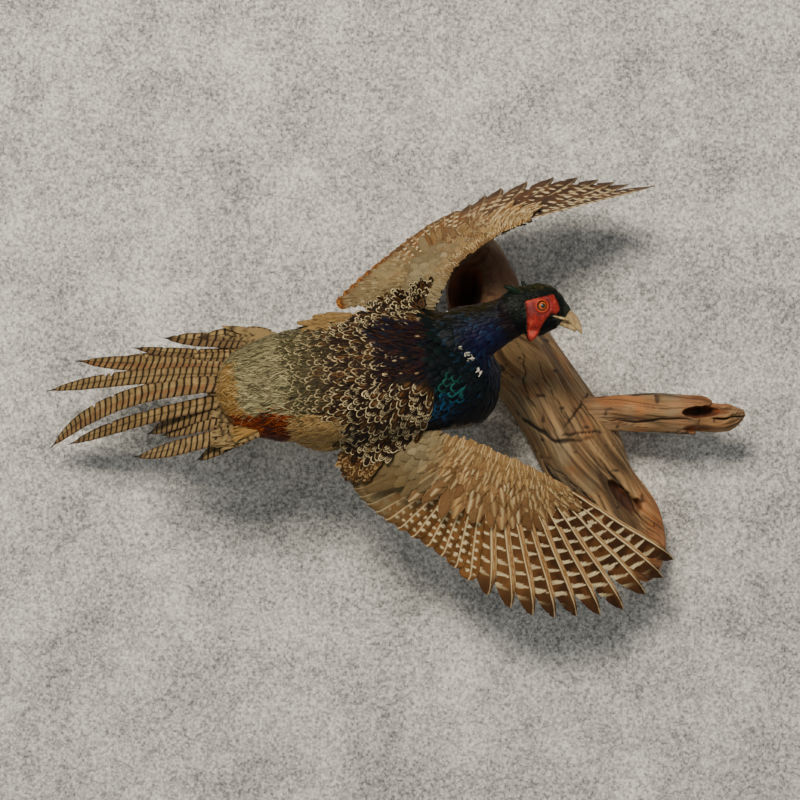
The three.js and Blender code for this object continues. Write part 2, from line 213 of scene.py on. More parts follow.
def mesh_object(name: str, points: Array, material: bpy.types.Material, faces: Array,
                tint: Array, vane: Array, bake: Array, weld: bool = False) -> bpy.types.Object:
    """A smooth mesh of quads, with a colour attribute and two maps.

    Args:
        name: The object's name.
        points: Places in metres.
        material: What it is made of.
        faces: Four point numbers to each face.
        tint: Linear colour of each point.
        vane: Fine pattern's map in mm, to each point.
        bake: Baked map, to each point or to each corner.
        weld: Joins points that lie in the same place.

    Returns:
        The object, in the scene.
    """
    mesh = bpy.data.meshes.new(name)
    corners = faces.reshape(-1)
    mesh.vertices.add(len(points))
    mesh.vertices.foreach_set("co", points.astype(np.float32).ravel())
    mesh.loops.add(len(corners))
    mesh.loops.foreach_set("vertex_index", corners.astype(np.int32))
    mesh.polygons.add(len(faces))
    mesh.polygons.foreach_set("loop_start", np.arange(0, len(corners), 4, dtype=np.int32))
    for label, values in (("OFBake", bake), ("vane", vane / 100)):
        layer = mesh.uv_layers.new(name=label)
        to_corners = values[corners] if len(values) == len(points) else values
        layer.data.foreach_set("uv", to_corners.astype(np.float32).ravel())
    rgba = np.ones((len(corners), 4), dtype=np.float32)
    rgba[:, :3] = np.clip(tint[corners], 0, 1)
    colour = mesh.color_attributes.new("tint", "FLOAT_COLOR", "CORNER")
    colour.data.foreach_set("color", rgba.ravel())
    mesh.update(calc_edges=True)
    mesh.validate()
    mesh.polygons.foreach_set("use_smooth", np.ones(len(mesh.polygons), dtype=bool))
    if weld:
        shape = bmesh.new()
        shape.from_mesh(mesh)
        bmesh.ops.remove_doubles(shape, verts=shape.verts, dist=2e-6)
        bmesh.ops.dissolve_degenerate(shape, edges=shape.edges, dist=1e-7)
        bmesh.ops.recalc_face_normals(shape, faces=shape.faces)
        shape.to_mesh(mesh)
        shape.free()
    mesh.materials.append(material)
    made = bpy.data.objects.new(name, mesh)
    bpy.context.scene.collection.objects.link(made)
    return made


def sweep(rows: Sequence[Sequence[float]], lift: Array, sides: int, stations: int,
          grow: float = 0.0, bump: Callable[[Array, Array], Array] | None = None) -> Array:
    """Rings of points along rows of x, y, z and two radii; the last column closes each ring.

    Args:
        rows: Centre and the half width and half depth at each station.
        lift: Direction in which the half depth is measured.
        sides: Points round a ring.
        stations: Rings from end to end.
        grow: Added to every radius.
        bump: Share of the radius at each angle and each t.

    Returns:
        Places of shape (stations, sides + 1, 3).
    """
    t = np.linspace(0, 1, stations)
    row = along(rows, t)
    ahead, behind = along(rows, np.minimum(t + 0.01, 1)), along(rows, np.maximum(t - 0.01, 0))
    run = unit(ahead[:, :3] - behind[:, :3])
    side = unit(np.cross(run, lift))
    deep = np.cross(side, run)
    angle = np.linspace(0, 2 * np.pi, sides + 1)
    size = 1.0 if bump is None else bump(angle[None, :], t[:, None])
    wide = (row[:, 3, None] * size + grow) * np.cos(angle)
    tall = (row[:, 4, None] * size + grow) * np.sin(angle)
    return row[:, None, :3] + side[:, None] * wide[..., None] + deep[:, None] * tall[..., None]


def capped(rings: Array) -> Array:
    """Rings with both ends closed on the ring's middle."""
    ends = [np.broadcast_to(r[:-1].mean(axis=0), r.shape)[None] for r in (rings[0], rings[-1])]
    return np.concatenate([ends[0], rings, ends[1]])


def sheet_map(rows: int, columns: int, box: Box) -> Array:
    """A grid's own map, filling a box of the baked map."""
    across, up = np.linspace(box[0], box[2], columns), np.linspace(box[1], box[3], rows)
    return np.stack(np.meshgrid(across, up), axis=-1)


def lengths_map(rings: Array) -> Array:
    """Distances in mm round and along a sweep, for the fine pattern."""
    around = np.linalg.norm(np.diff(rings, axis=1, prepend=rings[:, :1]), axis=2).cumsum(axis=1)
    middle = rings.mean(axis=1)
    run = np.linalg.norm(np.diff(middle, axis=0, prepend=middle[:1]), axis=1).cumsum()
    return np.stack(np.broadcast_arrays(around, run[:, None]), axis=-1)


def tube(made: Grids, rows: Sequence[Sequence[float]], lift: Array, sides: int, stations: int,
         paint: Callable[[Array, Array], Array], box: Box,
         bump: Callable[[Array, Array], Array] | None = None) -> None:
    """Adds a closed sweep to a mesh.

    Args:
        made: The mesh it goes into.
        rows: Centres and radii.
        lift: Direction of the second radius.
        sides: Points round it.
        stations: Rings along it.
        paint: Gives colours from the places of the points and t.
        box: Its rectangle of the baked map.
        bump: Share of the radius at each angle and t.
    """
    rings = capped(sweep(rows, lift, sides, stations, 0.0, bump))
    t = np.clip((np.arange(stations + 2) - 1) / (stations - 1), 0, 1)
    t = np.broadcast_to(t[:, None], rings.shape[:2])
    made.add(rings, paint(rings, t), lengths_map(rings), sheet_map(*t.shape, box))


# ---------------------------------------------------------------- materials


def put(tree: bpy.types.NodeTree, kind: str, inputs: dict | None = None,
        **settings: object) -> bpy.types.Node:
    """Adds a node to a material.

    Args:
        tree: The material's nodes.
        kind: The node's type, after "ShaderNode".
        inputs: Values, sockets or nodes, by the name or number of the input they go to.
        **settings: The node's own settings.

    Returns:
        The node.
    """
    node = tree.nodes.new("ShaderNode" + kind)
    for key, value in settings.items():
        setattr(node, key, value)
    for key, value in (inputs or {}).items():
        if isinstance(value, bpy.types.Node):
            value = value.outputs[2 if value.type == "MIX" else 0]
        if isinstance(value, bpy.types.NodeSocket):
            tree.links.new(value, node.inputs[key])
        else:
            node.inputs[key].default_value = value
    return node


def blank(name: str) -> tuple[bpy.types.Material, bpy.types.NodeTree]:
    """A new material and its empty nodes."""
    material = bpy.data.materials.new(name)
    material.use_nodes = True
    material.node_tree.nodes.clear()
    return material, material.node_tree


@dataclass(frozen=True)
class Finish:
    """A surface with its mesh's own tint, broken up by fine streaks along its grain."""

    name: str
    streak: tuple[float, float]  # mm across and along one streak
    contrast: float  # how much the streaks' brightness varies
    roughness: float
    relief: float  # mm of height in the streaks
    shader: dict = field(default_factory=dict)  # the shader's other sockets
    fractal: tuple[float, float, float] = (5.0, 0.62, 0.3)  # detail, roughness and distortion
    strength: float = 0.8  # of the relief

    def map(self, tree: bpy.types.NodeTree) -> bpy.types.Node:
        """Where on the surface each point is."""
        return put(tree, "UVMap", uv_map="vane")

    def material(self) -> bpy.types.Material:
        """Builds the material."""
        made, tree = blank(self.name)
        tint = put(tree, "VertexColor", layer_name="tint")
        scale = (100 / self.streak[0], 100 / self.streak[1], 1.0)
        scaled = put(tree, "VectorMath", {0: self.map(tree), 1: scale}, operation="MULTIPLY")
        detail, rough, bent = self.fractal
        fine = put(tree, "TexNoise", {"Vector": scaled, "Scale": 1.0, "Detail": detail,
                                      "Roughness": rough, "Distortion": bent})
        shade = put(tree, "MapRange", {0: fine, 1: 0.3, 2: 0.7,
                                       3: 1 - self.contrast, 4: 1 + self.contrast})
        colour = put(tree, "VectorMath", {0: tint, 1: shade}, operation="MULTIPLY")
        bump = put(tree, "Bump", {"Strength": self.strength, "Distance": self.relief * MM,
                                  "Height": fine})
        shader = put(tree, "BsdfPrincipled", {"Base Color": colour, "Roughness": self.roughness,
                                              "Normal": bump, **self.shader})
        put(tree, "OutputMaterial", {0: shader})
        return made


@dataclass(frozen=True)
class VaneFinish(Finish):
    """Keratin barbs lying side by side, which slant off the shaft towards the feather's tip."""

    fractal: tuple[float, float, float] = (3.0, 0.6, 0.0)
    strength: float = 0.6
    slant: float = 1.1  # mm a barb runs on for each mm that it runs out

    def map(self, tree: bpy.types.NodeTree) -> bpy.types.Node:
        """The distance from the shaft, and from barb to barb."""
        split = put(tree, "SeparateXYZ", {0: super().map(tree)})
        out = put(tree, "Math", {0: split.outputs[0]}, operation="ABSOLUTE")
        back = put(tree, "Math", {0: out, 1: -self.slant, 2: split.outputs[1]},
                   operation="MULTIPLY_ADD")
        return put(tree, "CombineXYZ", {0: split.outputs[0], 1: back})


def finishes() -> dict[str, bpy.types.Material]:
    """Every material of the mount, by a short key."""
    feather = {"IOR": 1.55, "Specular IOR Level": 0.12, "Sheen Weight": 0.03, "Sheen Roughness": 0.5}
    # true barbs are 0.3 mm apart, too fine to show, so the streaks are drawn more than twice as wide
    return {
        # dry stuffed hide: dull, seen only between feathers
        "hide": Finish("hide_dry", (0.6, 2.0), 0.3, 0.8, 0.1).material(),
        # soft body feathers: dull, with a hairy break-up
        "plume": VaneFinish("contour_feathers_soft", (8.4, 0.7), 0.34, 0.7, 0.25, feather).material(),
        # packed glossy feathers, whose barbules mirror a little coloured light
        "gloss": VaneFinish("neck_feathers_iridescent", (7.2, 0.6), 0.4, 0.52, 0.12,
                            feather | {"Metallic": 0.15, "Sheen Weight": 0.0}, slant=1.0).material(),
        # stiff wing feathers: a silky sheen along the barbs
        "flight": VaneFinish("flight_feathers_stiff", (9.6, 0.8), 0.24, 0.55, 0.2, feather,
                             slant=1.3).material(),
        # cast glass with the iris painted behind it: a sharp highlight
        "eye": Finish("eye_glass_cast", (2, 2), 0.06, 0.5, 0.0,
                      {"IOR": 1.45, "Coat Weight": 0.4, "Coat Roughness": 0.02}).material(),
        # bare skin painted after drying: matt, faintly waxy
        "wattle": Finish("wattle_skin_painted", (0.5, 0.5), 0.22, 0.55, 0.12,
                         {"IOR": 1.4, "Subsurface Weight": 0.08, "Subsurface Scale": 0.001}).material(),
        # polished horn: satin
        "horn": Finish("bill_horn_polished", (0.5, 6), 0.12, 0.34, 0.04, {"IOR": 1.54}).material(),
        # dried scaled skin, lightly varnished
        "scale": Finish("leg_skin_scaled", (0.8, 1.2), 0.2, 0.5, 0.1).material(),
        # weathered wood: open fibres, no shine
        "wood": Finish("driftwood_weathered", (0.9, 22), 0.34, 0.82, 0.9).material(),
        # plain drawn steel
        "steel": Finish("support_steel_drawn", (0.3, 30), 0.1, 0.35, 0.02, {"Metallic": 1.0}).material(),
    }


# ---------------------------------------------------------------- the bird's body


class Part(Enum):
    """Which part of the bird a piece of skin belongs to."""

    TRUNK = 0
    THIGH_RIGHT = 1
    THIGH_LEFT = 2
    ARM_RIGHT = 3
    ARM_LEFT = 4


THIGHS = {Part.THIGH_RIGHT: "right", Part.THIGH_LEFT: "left"}
ARMS = {Part.ARM_RIGHT: "right", Part.ARM_LEFT: "left"}


def nearest(points: Array, line: Array) -> Array:
    """The number of the sample of a line that lies nearest to each point."""
    found = np.empty(len(points), dtype=int)
    for first in range(0, len(points), 4000):
        gap = points[first:first + 4000, None] - line[None]
        found[first:first + 4000] = np.argmin((gap ** 2).sum(axis=2), axis=1)
    return found


@dataclass(frozen=True)
class Wing:
    """A wing's own lines, from the shoulder to the tip, in mm; q is a share of its span."""

    lead: tuple
    covert: tuple
    tips: tuple
    thick: float = 9.0
    wrist: float = 0.58  # q of the first primary
    first: float = 0.16  # q of the innermost secondary
    last: float = 0.97  # q of the outermost primary
    inner_tips: float = 3.6  # how many of the nine spans between tips the secondaries take
    primaries: int = 10
    secondaries: int = 14

    def run(self, q: Array) -> Array:
        """The way that the leading edge runs."""
        ahead, behind = np.minimum(q + 0.02, 1), np.maximum(q - 0.02, 0)
        return unit(along(self.lead, ahead) - along(self.lead, behind))

    def ring_lines(self, q: Array) -> tuple[Array, ...]:
        """Leading edge, chord, the chord's facing and the thickness."""
        lead = along(self.lead, q)
        chord = along(self.covert, q) - lead
        facing = unit(np.cross(self.run(q), chord))
        facing = facing * np.sign(facing @ DORSAL).reshape(-1, 1)
        return lead, chord, facing, self.thick * (1 - 0.62 * q)

    def root(self, q: Array, share: Array | float) -> Array:
        """A place between the leading edge and the edge of the coverts."""
        return blend(along(self.lead, q), along(self.covert, q), share)

    def inner(self, q: Array) -> Array:
        """Which span between tips a place among the secondaries points to."""
        return self.inner_tips * (q - self.first) / (self.wrist - 0.03 - self.first)

    def toward(self, q: Array) -> Array:
        """The way that the flight feathers point."""
        outer = 4 + 4.5 * (q - self.wrist) / (self.last - self.wrist)
        s = np.clip(np.where(q < self.wrist, self.inner(q), outer), 0, 9)
        return unit(along(self.tips, s / 9) - self.root(q, 0.8))

    def blade(self) -> Array:
        """Places all over the flight feathers next to the body."""
        q = np.linspace(0.1, 0.6, 40)
        tip = along(self.tips, np.clip(self.inner(q), 0, 9) / 9)[:, None]
        root = self.root(q, 0.82)[:, None]
        return (root + (tip - root) * np.linspace(0, 1, 30)[None, :, None]).reshape(-1, 3)

    def height(self, c: Array, top: bool) -> Array:
        """The surface over the arm's middle as a share of its thickness, at shares c of the chord."""
        high = [0, 0.8, 0.72, 0.16, 0.1] if top else [0, -0.6, -0.48, -0.16, -0.1]
        return np.interp(c, [0, 0.12, 0.45, 1, 1.4], high)

    def place(self, points: Array) -> tuple[Array, Array, Array]:
        """Share of span, share of chord and 1 above or 0 below, for points near the arm."""
        q = np.linspace(0, 1, 90)
        mid = self.root(q, 0.5)
        best = q[nearest(points, mid)]
        lead, chord, facing, _ = self.ring_lines(best)
        off = points - lead
        c = (off * chord).sum(axis=1) / (chord ** 2).sum(axis=1)
        span = np.linalg.norm(np.diff(mid, axis=0), axis=1).sum()
        fine = best + ((points - lead - chord / 2) * self.run(best)).sum(axis=1) / span
        over = ((off * facing).sum(axis=1) > 0).astype(float)
        return np.clip(fine, 0, 1), np.clip(c, 0, 1), over


WINGS = {
    "right": Wing(
        lead=((-200, -196, 24), (-170, -210, -8), (-136, -208, -18), (-96, -203, -35),
              (-58, -190, -54), (-30, -176, -70)),
        covert=((-226, -186, 4), (-207, -188, -52), (-166, -187, -76), (-118, -184, -90),
                (-70, -172, -94), (-24, -165, -86)),
        tips=((-272, -176, -44), (-256, -166, -77), (-223, -158, -108), (-168, -150, -144),
              (-115, -142, -190), (-65, -132, -213), (-16, -122, -215), (37, -112, -208),
              (82, -105, -174), (94, -104, -154)),
    ),
    "left": Wing(
        lead=((-184, -176, 96), (-168, -199, 129), (-153, -206, 160), (-122, -204, 187),
              (-93, -196, 204), (-70, -185, 215)),
        covert=((-216, -164, 118), (-212, -150, 150), (-190, -138, 178), (-150, -132, 206),
                (-104, -140, 226), (-62, -158, 228)),
        tips=((-278, -172, 127), (-253, -140, 156), (-218, -112, 188), (-176, -92, 220),
              (-133, -84, 242), (-97, -80, 261), (-38, -84, 273), (12, -90, 270),
              (45, -98, 264), (73, -106, 261)),
    ),
}


@dataclass
class Body:
    """The skin over the stuffed form, and the lie of the coat on it."""

    trunk: tuple = (
        (-399, -174, 34, 22, 15), (-383, -178, 36, 43, 28), (-350, -184, 37, 57, 42),
        (-311, -188, 40, 64, 52), (-268, -190, 46, 67, 58), (-226, -190, 52, 70, 61),
        (-188, -188, 54, 70, 60), (-155, -184, 47, 62, 55), (-126, -181, 39, 48, 45),
        (-107, -179, 36, 24, 24),
    )
    neck: tuple = (
        (-182, -190, 66, 46, 40), (-151, -199, 84, 38, 36), (-125, -204, 94, 28, 28),
        (-104, -209, 104, 21, 23), (-88, -214, 112, 17, 22),
    )
    head: tuple = (
        (-109, -219, 116, 6, 8), (-101, -220, 117, 13, 14), (-88, -220, 119.5, 17, 22),
        (-72, -220, 118, 18.5, 27.5), (-58, -220, 118, 18, 27), (-46, -220, 116, 14, 20),
        (-37, -220, 114, 8, 12), (-33, -220, 112, 5, 7),
    )
    nape: tuple = ((-75, -220, 122, 14, 18), (-105, -211, 110, 19, 19), (-140, -203, 92, 30, 32))
    thighs: dict = field(default_factory=lambda: {
        "right": ((-262, -176, -6, 16, 14), (-284, -174, -10, 27, 22), (-308, -168, -8, 24, 20),
                  (-330, -152, -4, 12, 11), (-340, -141, -3, 6, 6)),
        "left": ((-262, -134, 52, 16, 14), (-284, -128, 52, 25, 21), (-308, -125, 46, 22, 19),
                 (-330, -123, 36, 12, 11), (-341, -121, 30, 6, 6)),
    })
    chain: tuple = (
        (-30, -220, 114), (-58, -220, 119), (-86, -217, 115), (-110, -211, 102), (-135, -203, 86),
        (-165, -195, 68), (-200, -190, 56), (-240, -190, 50), (-290, -189, 44), (-340, -185, 39),
        (-385, -178, 36), (-412, -172, 34),
    )
    girth: tuple = (
        (0, 10), (25, 24), (60, 24), (95, 27), (130, 42), (170, 66), (260, 66), (330, 60), (390, 24),
    )  # half widths at distances along the chain
    arm: tuple = (0.05, 0.14, 0.3, 0.5, 0.9)  # shares of the chord at which the arm's skin is shaped
    coat: float = 2.5  # how far the skin lies inside the coat
    head_coat: float = 1.2
    voxel: float = 1.9
    samples: int = 400

    def __post_init__(self) -> None:
        """Samples the lines that the skin's map and the coat's lie follow."""
        self.line = along(self.chain, np.linspace(0, 1, self.samples))
        self.ways = unit(np.gradient(self.line, axis=0))
        run = np.linalg.norm(np.diff(self.line, axis=0), axis=1).cumsum()
        self.arc = np.concatenate([[0], run])
        self.thigh_lines = {s: along(rows, np.linspace(0, 1, 80)) for s, rows in self.thighs.items()}

    def forms(self) -> list[Array]:
        """The closed shapes under the skin, each as rings of points."""
        made = [
            sweep(self.trunk, DORSAL, 44, 60, -self.coat),
            sweep(self.neck, UP, 36, 30, -self.coat),
            sweep(self.head, UP, 36, 40, -self.head_coat),
            sweep(self.nape, UP, 36, 20, -self.head_coat),
        ]
        made += [sweep(rows, UP, 24, 24, -self.coat) for rows in self.thighs.values()]
        c = np.array(self.arm + self.arm[::-1])
        for wing in WINGS.values():
            lead, chord, facing, thick = wing.ring_lines(np.linspace(0.0, 0.93, 40))
            share = np.concatenate([wing.height(c[:5], True), wing.height(c[5:], False)])
            share[[0, -1]] = [0.1, -0.1]
            high = share[None, :] * thick[:, None] * 0.62
            ring = lead[:, None] + chord[:, None] * c[None, :, None] + facing[:, None] * high[..., None]
            made.append(np.concatenate([ring, ring[:, :1]], axis=1))
        return made

    def build(self, material: bpy.types.Material) -> bpy.types.Object:
        """Joins the forms into one skin and paints it."""
        raw = Grids("forms")
        for rings in self.forms():
            raw.add(capped(rings), np.zeros(3), np.zeros(2), np.zeros(2))
        draft = raw.make(material, weld=True)
        join = draft.modifiers.new("join", "REMESH")
        join.mode, join.voxel_size = "VOXEL", self.voxel * MM
        ease = draft.modifiers.new("ease", "SMOOTH")
        ease.factor, ease.iterations = 0.5, 5
        whole = draft.evaluated_get(bpy.context.evaluated_depsgraph_get()).to_mesh()
        if any(len(face.vertices) != 4 for face in whole.polygons):
            raise ValueError("the joined skin should be all quads")
        points = np.empty(len(whole.vertices) * 3, dtype=np.float32)
        whole.vertices.foreach_get("co", points)
        corners = np.empty(len(whole.loops), dtype=np.int32)
        whole.loops.foreach_get("vertex_index", corners)
        self.points, self.faces = points.reshape(-1, 3).astype(float) / MM, corners.reshape(-1, 4)
        bpy.data.objects.remove(draft)
        self.tree = BVHTree.FromPolygons(self.points.tolist(), self.faces.tolist())
        middle = self.points[self.faces].mean(axis=1)
        part = self.part_of(middle)
        around = self.place(middle, part, middle)
        bake = np.stack([self.place(self.points[self.faces[:, k]], part, middle, around)
                         for k in range(4)], axis=1)
        zone = zone_of(self, self.points)
        tint = np.stack([linear(ZONE_TONES[z]) for z in Zone])[zone] * 0.55
        vane = np.stack([self.points[:, 0] - self.points[:, 2], self.points[:, 1]], axis=-1)
        return mesh_object("skin", self.points * MM, material, self.faces, tint, vane,
                           bake.reshape(-1, 2))

    def part_of(self, points: Array) -> Array:
        """Which Part each point is on, as numbers."""
        i = nearest(points, self.line)
        half = np.interp(self.arc[i], *np.array(self.girth, dtype=float).T)
        near = [np.linalg.norm(points - self.line[i], axis=1) / half]
        for line in self.thigh_lines.values():
            best = line[nearest(points, line[:, :3])]
            own = np.linalg.norm(points - best[:, :3], axis=1) / (best[:, 3] + 2)
            near.append(np.where(own < 1.25, own, 9) + 0.2)
        q = np.linspace(0.02, 0.98, 60)
        for wing in WINGS.values():
            mid = wing.root(q, 0.5)
            best = nearest(points, mid)
            chord = np.linalg.norm(wing.ring_lines(q)[1], axis=1)[best]
            near.append(np.linalg.norm(points - mid[best], axis=1) / (chord * 0.6 + 2) + 0.1)
        return np.argmin(np.stack(near), axis=0)

    def place(self, points: Array, part: Array, middle: Array, around: Array | None = None) -> Array:
        """Places on the baked map, from the skin's own shape.

        Args:
            points: Points on the skin.
            part: The part each belongs to.
            middle: The middle of the face that each belongs to.
            around: The places of those middles, to keep a face whole where the map's edges meet.

        Returns:
            Two numbers to each point.
        """
        made = np.zeros((len(points), 2))
        for p in Part:
            on = part == p.value
            if not on.any():
                continue
            x = points[on]
            if p in ARMS:
                wing = WINGS[ARMS[p]]
                q, c, _ = wing.place(x)
                left = 0.02 + 0.5 * (p is Part.ARM_LEFT) + 0.24 * wing.place(middle[on])[2]
                made[on] = np.stack([left + 0.2 * c, 0.02 + 0.3 * q], axis=-1)
                continue
            if p is Part.TRUNK:
                i = nearest(x, self.line)
                line, ways = self.line[i], self.ways[i]
                run = self.arc[i] + ((x - line) * ways).sum(axis=1)
                high, box = run / self.arc[-1], (0.03, 0.5, 0.97, 0.98)
            else:
                rows = self.thigh_lines[THIGHS[p]][:, :3]
                i = nearest(x, rows)
                line, ways = rows[i], unit(np.gradient(rows, axis=0))[i]
                run = (x - rows[0]) @ unit(rows[-1] - rows[0])
                left = 0.05 if p is Part.THIGH_RIGHT else 0.55
                high, box = run / 110 + 0.1, (left, 0.36, left + 0.4, 0.46)
            out = flatten(x - line, ways)
            wide = (np.arctan2(out @ RIGHT, out @ DORSAL) / (2 * np.pi) + 0.5) % 1
            if around is not None:
                old = (around[on][:, 0] - box[0]) / (box[2] - box[0])
                wide = wide - np.round(wide - old)
            made[on] = np.stack([box[0] + (box[2] - box[0]) * wide,
                                 box[1] + (box[3] - box[1]) * np.clip(high, -0.03, 1.03)], axis=-1)
        return made

    def settle(self, points: Array) -> tuple[Array, Array]:
        """The nearest places on the skin and the skin's facing there."""
        found = [self.tree.find_nearest(p)[:2] for p in points.tolist()]
        return tuple(np.array([f[k] for f in found]).reshape(-1, 3) for k in (0, 1))

    def flow(self, points: Array, facing: Array) -> Array:
        """The way that feathers point at places on the skin: tailwards, along its surface."""
        way = self.ways[nearest(points, self.line)]
        part = self.part_of(points)
        for p, side in THIGHS.items():
            rows = self.thigh_lines[side]
            way = np.where((part == p.value)[:, None], unit(rows[-1, :3] - rows[0, :3]), way)
        return unit(flatten(way, facing))


# ---------------------------------------------------------------- feathers and their markings


class Zone(Enum):
    """A tract of the coat with feathers of one kind."""

    HEAD = 0
    NECK = 1
    RING = 2
    BREAST = 3
    MANTLE = 4
    SCAPULAR = 5
    BACK = 6
    RUMP = 7
    FLANK = 8
    BELLY = 9
    THIGH = 10
    ARM = 11
    AMBER = 12


ZONE_TONES = {
    Zone.HEAD: "#14200F", Zone.NECK: "#0B1022", Zone.RING: "#D2CCB8", Zone.BREAST: "#05070B",
    Zone.MANTLE: "#0C090C", Zone.SCAPULAR: "#24160A", Zone.BACK: "#37301F",
    Zone.RUMP: "#6A664A", Zone.FLANK: "#5A1E08", Zone.BELLY: "#1A1210",
    Zone.THIGH: "#86693E", Zone.ARM: "#7E7150", Zone.AMBER: "#7A4E18",
}


@dataclass(frozen=True)
class Tract:
    """Sizes in mm of the feathers in one zone."""

    zone: Zone
    piece: str
    spacing: float
    length: float
    width: float
    rise: float  # how far the tips stand over the skin
    rows: int
    columns: int
    wander: float = 0.12  # radians by which neighbours differ in direction
    point: float = 0.0  # 0 for a round tip, 1 for a pointed one


TRACTS = (
    Tract(Zone.HEAD, "coat_head", 1.9, 5.0, 2.8, 0.9, 5, 5, 0.15),
    Tract(Zone.NECK, "coat_neck", 3.0, 11.0, 4.6, 1.4, 7, 5, 0.14, 0.4),
    Tract(Zone.RING, "coat_neck", 2.5, 7.0, 1.7, 2.0, 6, 5, 0.5, 0.7),
    Tract(Zone.BREAST, "coat_breast", 4.8, 15.0, 8.4, 2.0, 8, 7, 0.14),
    Tract(Zone.MANTLE, "coat_mantle", 4.6, 19.0, 6.4, 2.4, 9, 7, 0.22, 0.5),
    Tract(Zone.SCAPULAR, "coat_scapulars", 5.6, 18.0, 8.4, 2.0, 13, 11, 0.2, 0.3),
    Tract(Zone.BACK, "coat_back", 4.7, 16.0, 6.6, 2.0, 12, 9, 0.24, 0.25),
    Tract(Zone.RUMP, "coat_rump", 5.0, 20.0, 8.0, 2.4, 8, 7, 0.25, 0.5),
    Tract(Zone.AMBER, "coat_rump", 4.6, 18.0, 5.0, 2.2, 7, 5, 0.3, 0.8),
    Tract(Zone.FLANK, "coat_flank", 5.2, 24.0, 8.0, 2.8, 8, 7, 0.3, 0.6),
    Tract(Zone.BELLY, "coat_belly", 6.5, 22.0, 11.0, 2.4, 7, 6, 0.2, 0.2),
    Tract(Zone.THIGH, "coat_thighs", 4.4, 15.0, 6.5, 2.0, 7, 6, 0.25, 0.5),
)
# zone, piece, spacing, length, colours, wander in radians and rise of the loose barbs
BARBS = (
    (Zone.RUMP, "coat_rump", 1.5, 16.0, ("#736E4E", "#8E8864", "#565238", "#A09870", "#363220"), 0.3, 2.2),
    (Zone.AMBER, "coat_rump", 1.7, 17.0, ("#7A5C2A", "#94743C", "#5E4420", "#A68E5C"), 0.35, 2.6),
    (Zone.BACK, "coat_back", 5.5, 8.0, ("#5E5638", "#3A2E1A", "#6E6644", "#241A0E"), 0.3, 1.6),
    (Zone.MANTLE, "coat_mantle", 1.8, 15.0,
     ("#0E080E", "#240A0C", "#0C1020", "#38200F", "#060506"), 0.25, 2.4),
    (Zone.FLANK, "coat_flank", 1.8, 20.0, ("#6E2A07", "#8A400C", "#3E1204", "#260A04"), 0.4, 2.6),
    (Zone.THIGH, "coat_thighs", 2.2, 13.0, ("#9A8050", "#6E5630", "#AC9462"), 0.35, 1.8),
    (Zone.BELLY, "coat_belly", 4.0, 18.0, ("#2A1C16", "#140E0E", "#3E2A1C"), 0.3, 2.0),
)


@dataclass(frozen=True)
class Cape:
    """A patch of feathers laid over the body and a wing's root; places in X and Z."""

    tract: Tract
    middle: tuple[float, float]
    reach: tuple[float, float]
    lean: float  # degrees
    source: tuple[float, float, float]  # the feathers point away from here
    pull: tuple[float, float, float]  # and are drawn this way
    height: float
    floor: float = 0.0  # what lies deeper in Y than this is bridged, not followed


BRIDGE = Tract(Zone.SCAPULAR, "coat_scapulars", 5.0, 17.0, 8.8, 1.3, 14, 11, 0.2, 0.4)
SHOULDER = Tract(Zone.SCAPULAR, "coat_scapulars", 3.9, 12.0, 6.6, 0.7, 12, 9, 0.16, 0.3)
SOFT = Tract(Zone.THIGH, "coat_thighs", 4.0, 26.0, 6.0, 1.0, 8, 7, 0.12, 0.4)
FLECKED = Tract(Zone.ARM, "coat_scapulars", 4.6, 16.0, 6.5, 1.4, 12, 9, 0.3, 0.4)
CAPES = (
    Cape(SOFT, (-272, 106), (23, 8), 16, (-190, -190, 118), (-0.6, 0.0, -0.1), 0.6),
    Cape(FLECKED, (-248, -34), (22, 20), 40, (-150, -200, 40), (0.0, 0.0, -0.5), 1.8),
    Cape(SHOULDER, (-209, 121), (45, 13), 24, (-176, -200, 97), (-0.25, 0.0, -0.05), 1.6, -186.0),
    Cape(BRIDGE, (-219, 8), (52, 31), 40, (-150, -200, 66), (0.0, 0.0, -0.4), 2.6),
)


def zone_of(body: Body, points: Array) -> Array:
    """The number of the zone that each point on the skin lies in."""
    i = nearest(points, body.line)
    arc, out, part = body.arc[i], unit(points - body.line[i]), body.part_of(points)
    back, right = out @ DORSAL, out @ RIGHT
    x, z = points[:, 0], points[:, 2]
    ragged, breaks = noise(points / 9.0, 4) * 6, noise(points / 6.0, 8)
    shoulder = ((x + 232) / 46) ** 2 + ((z - 4) / 42) ** 2 + ragged * 0.02 < 1
    wingward = ((z + ragged * 0.5 > 84) & (x > -272)) | shoulder
    middle = (x + ragged > -222 - 0.22 * (z - 50)) & (z < 102)
    root = arc + ragged + 0.3 * np.clip(46 - z, 0, 40) > body.arc.max() - 42  # of the tail
    low = step(-z, -90, -72) * step(z, 46, 60)
    ring = np.abs(arc - 121 + breaks * 5) < 0.8 + 1.5 * low
    zone = np.full(len(points), Zone.BACK.value)
    for own, where in (
        (Zone.RUMP, x + ragged < -326 - 0.2 * (z - 40)),
        (Zone.SCAPULAR, wingward & (x < -176)),
        (Zone.MANTLE, middle & (z + ragged > 24)),
        (Zone.BELLY, (back < -0.3) & (x < -170)),
        (Zone.THIGH, (x < -262) & (x > -322) & (right > 0.45) & (z + ragged < 6)),
        (Zone.AMBER, root & (right > -0.6)),
        (Zone.FLANK, (x < -318) & (x + ragged > -378) & (right > 0.35) & (z + ragged * 0.7 < 9)),
        (Zone.BREAST, (x + ragged * 0.6 > -178) & (arc < 250)),
        (Zone.NECK, arc + ragged * 0.3 < 131),
        (Zone.RING, ring & (breaks > 0.35 - 0.5 * low)),
        (Zone.HEAD, arc < 60),
        (Zone.THIGH, np.isin(part, [p.value for p in THIGHS])),
        (Zone.ARM, np.isin(part, [p.value for p in ARMS])),
    ):
        zone[where] = own.value
    return zone


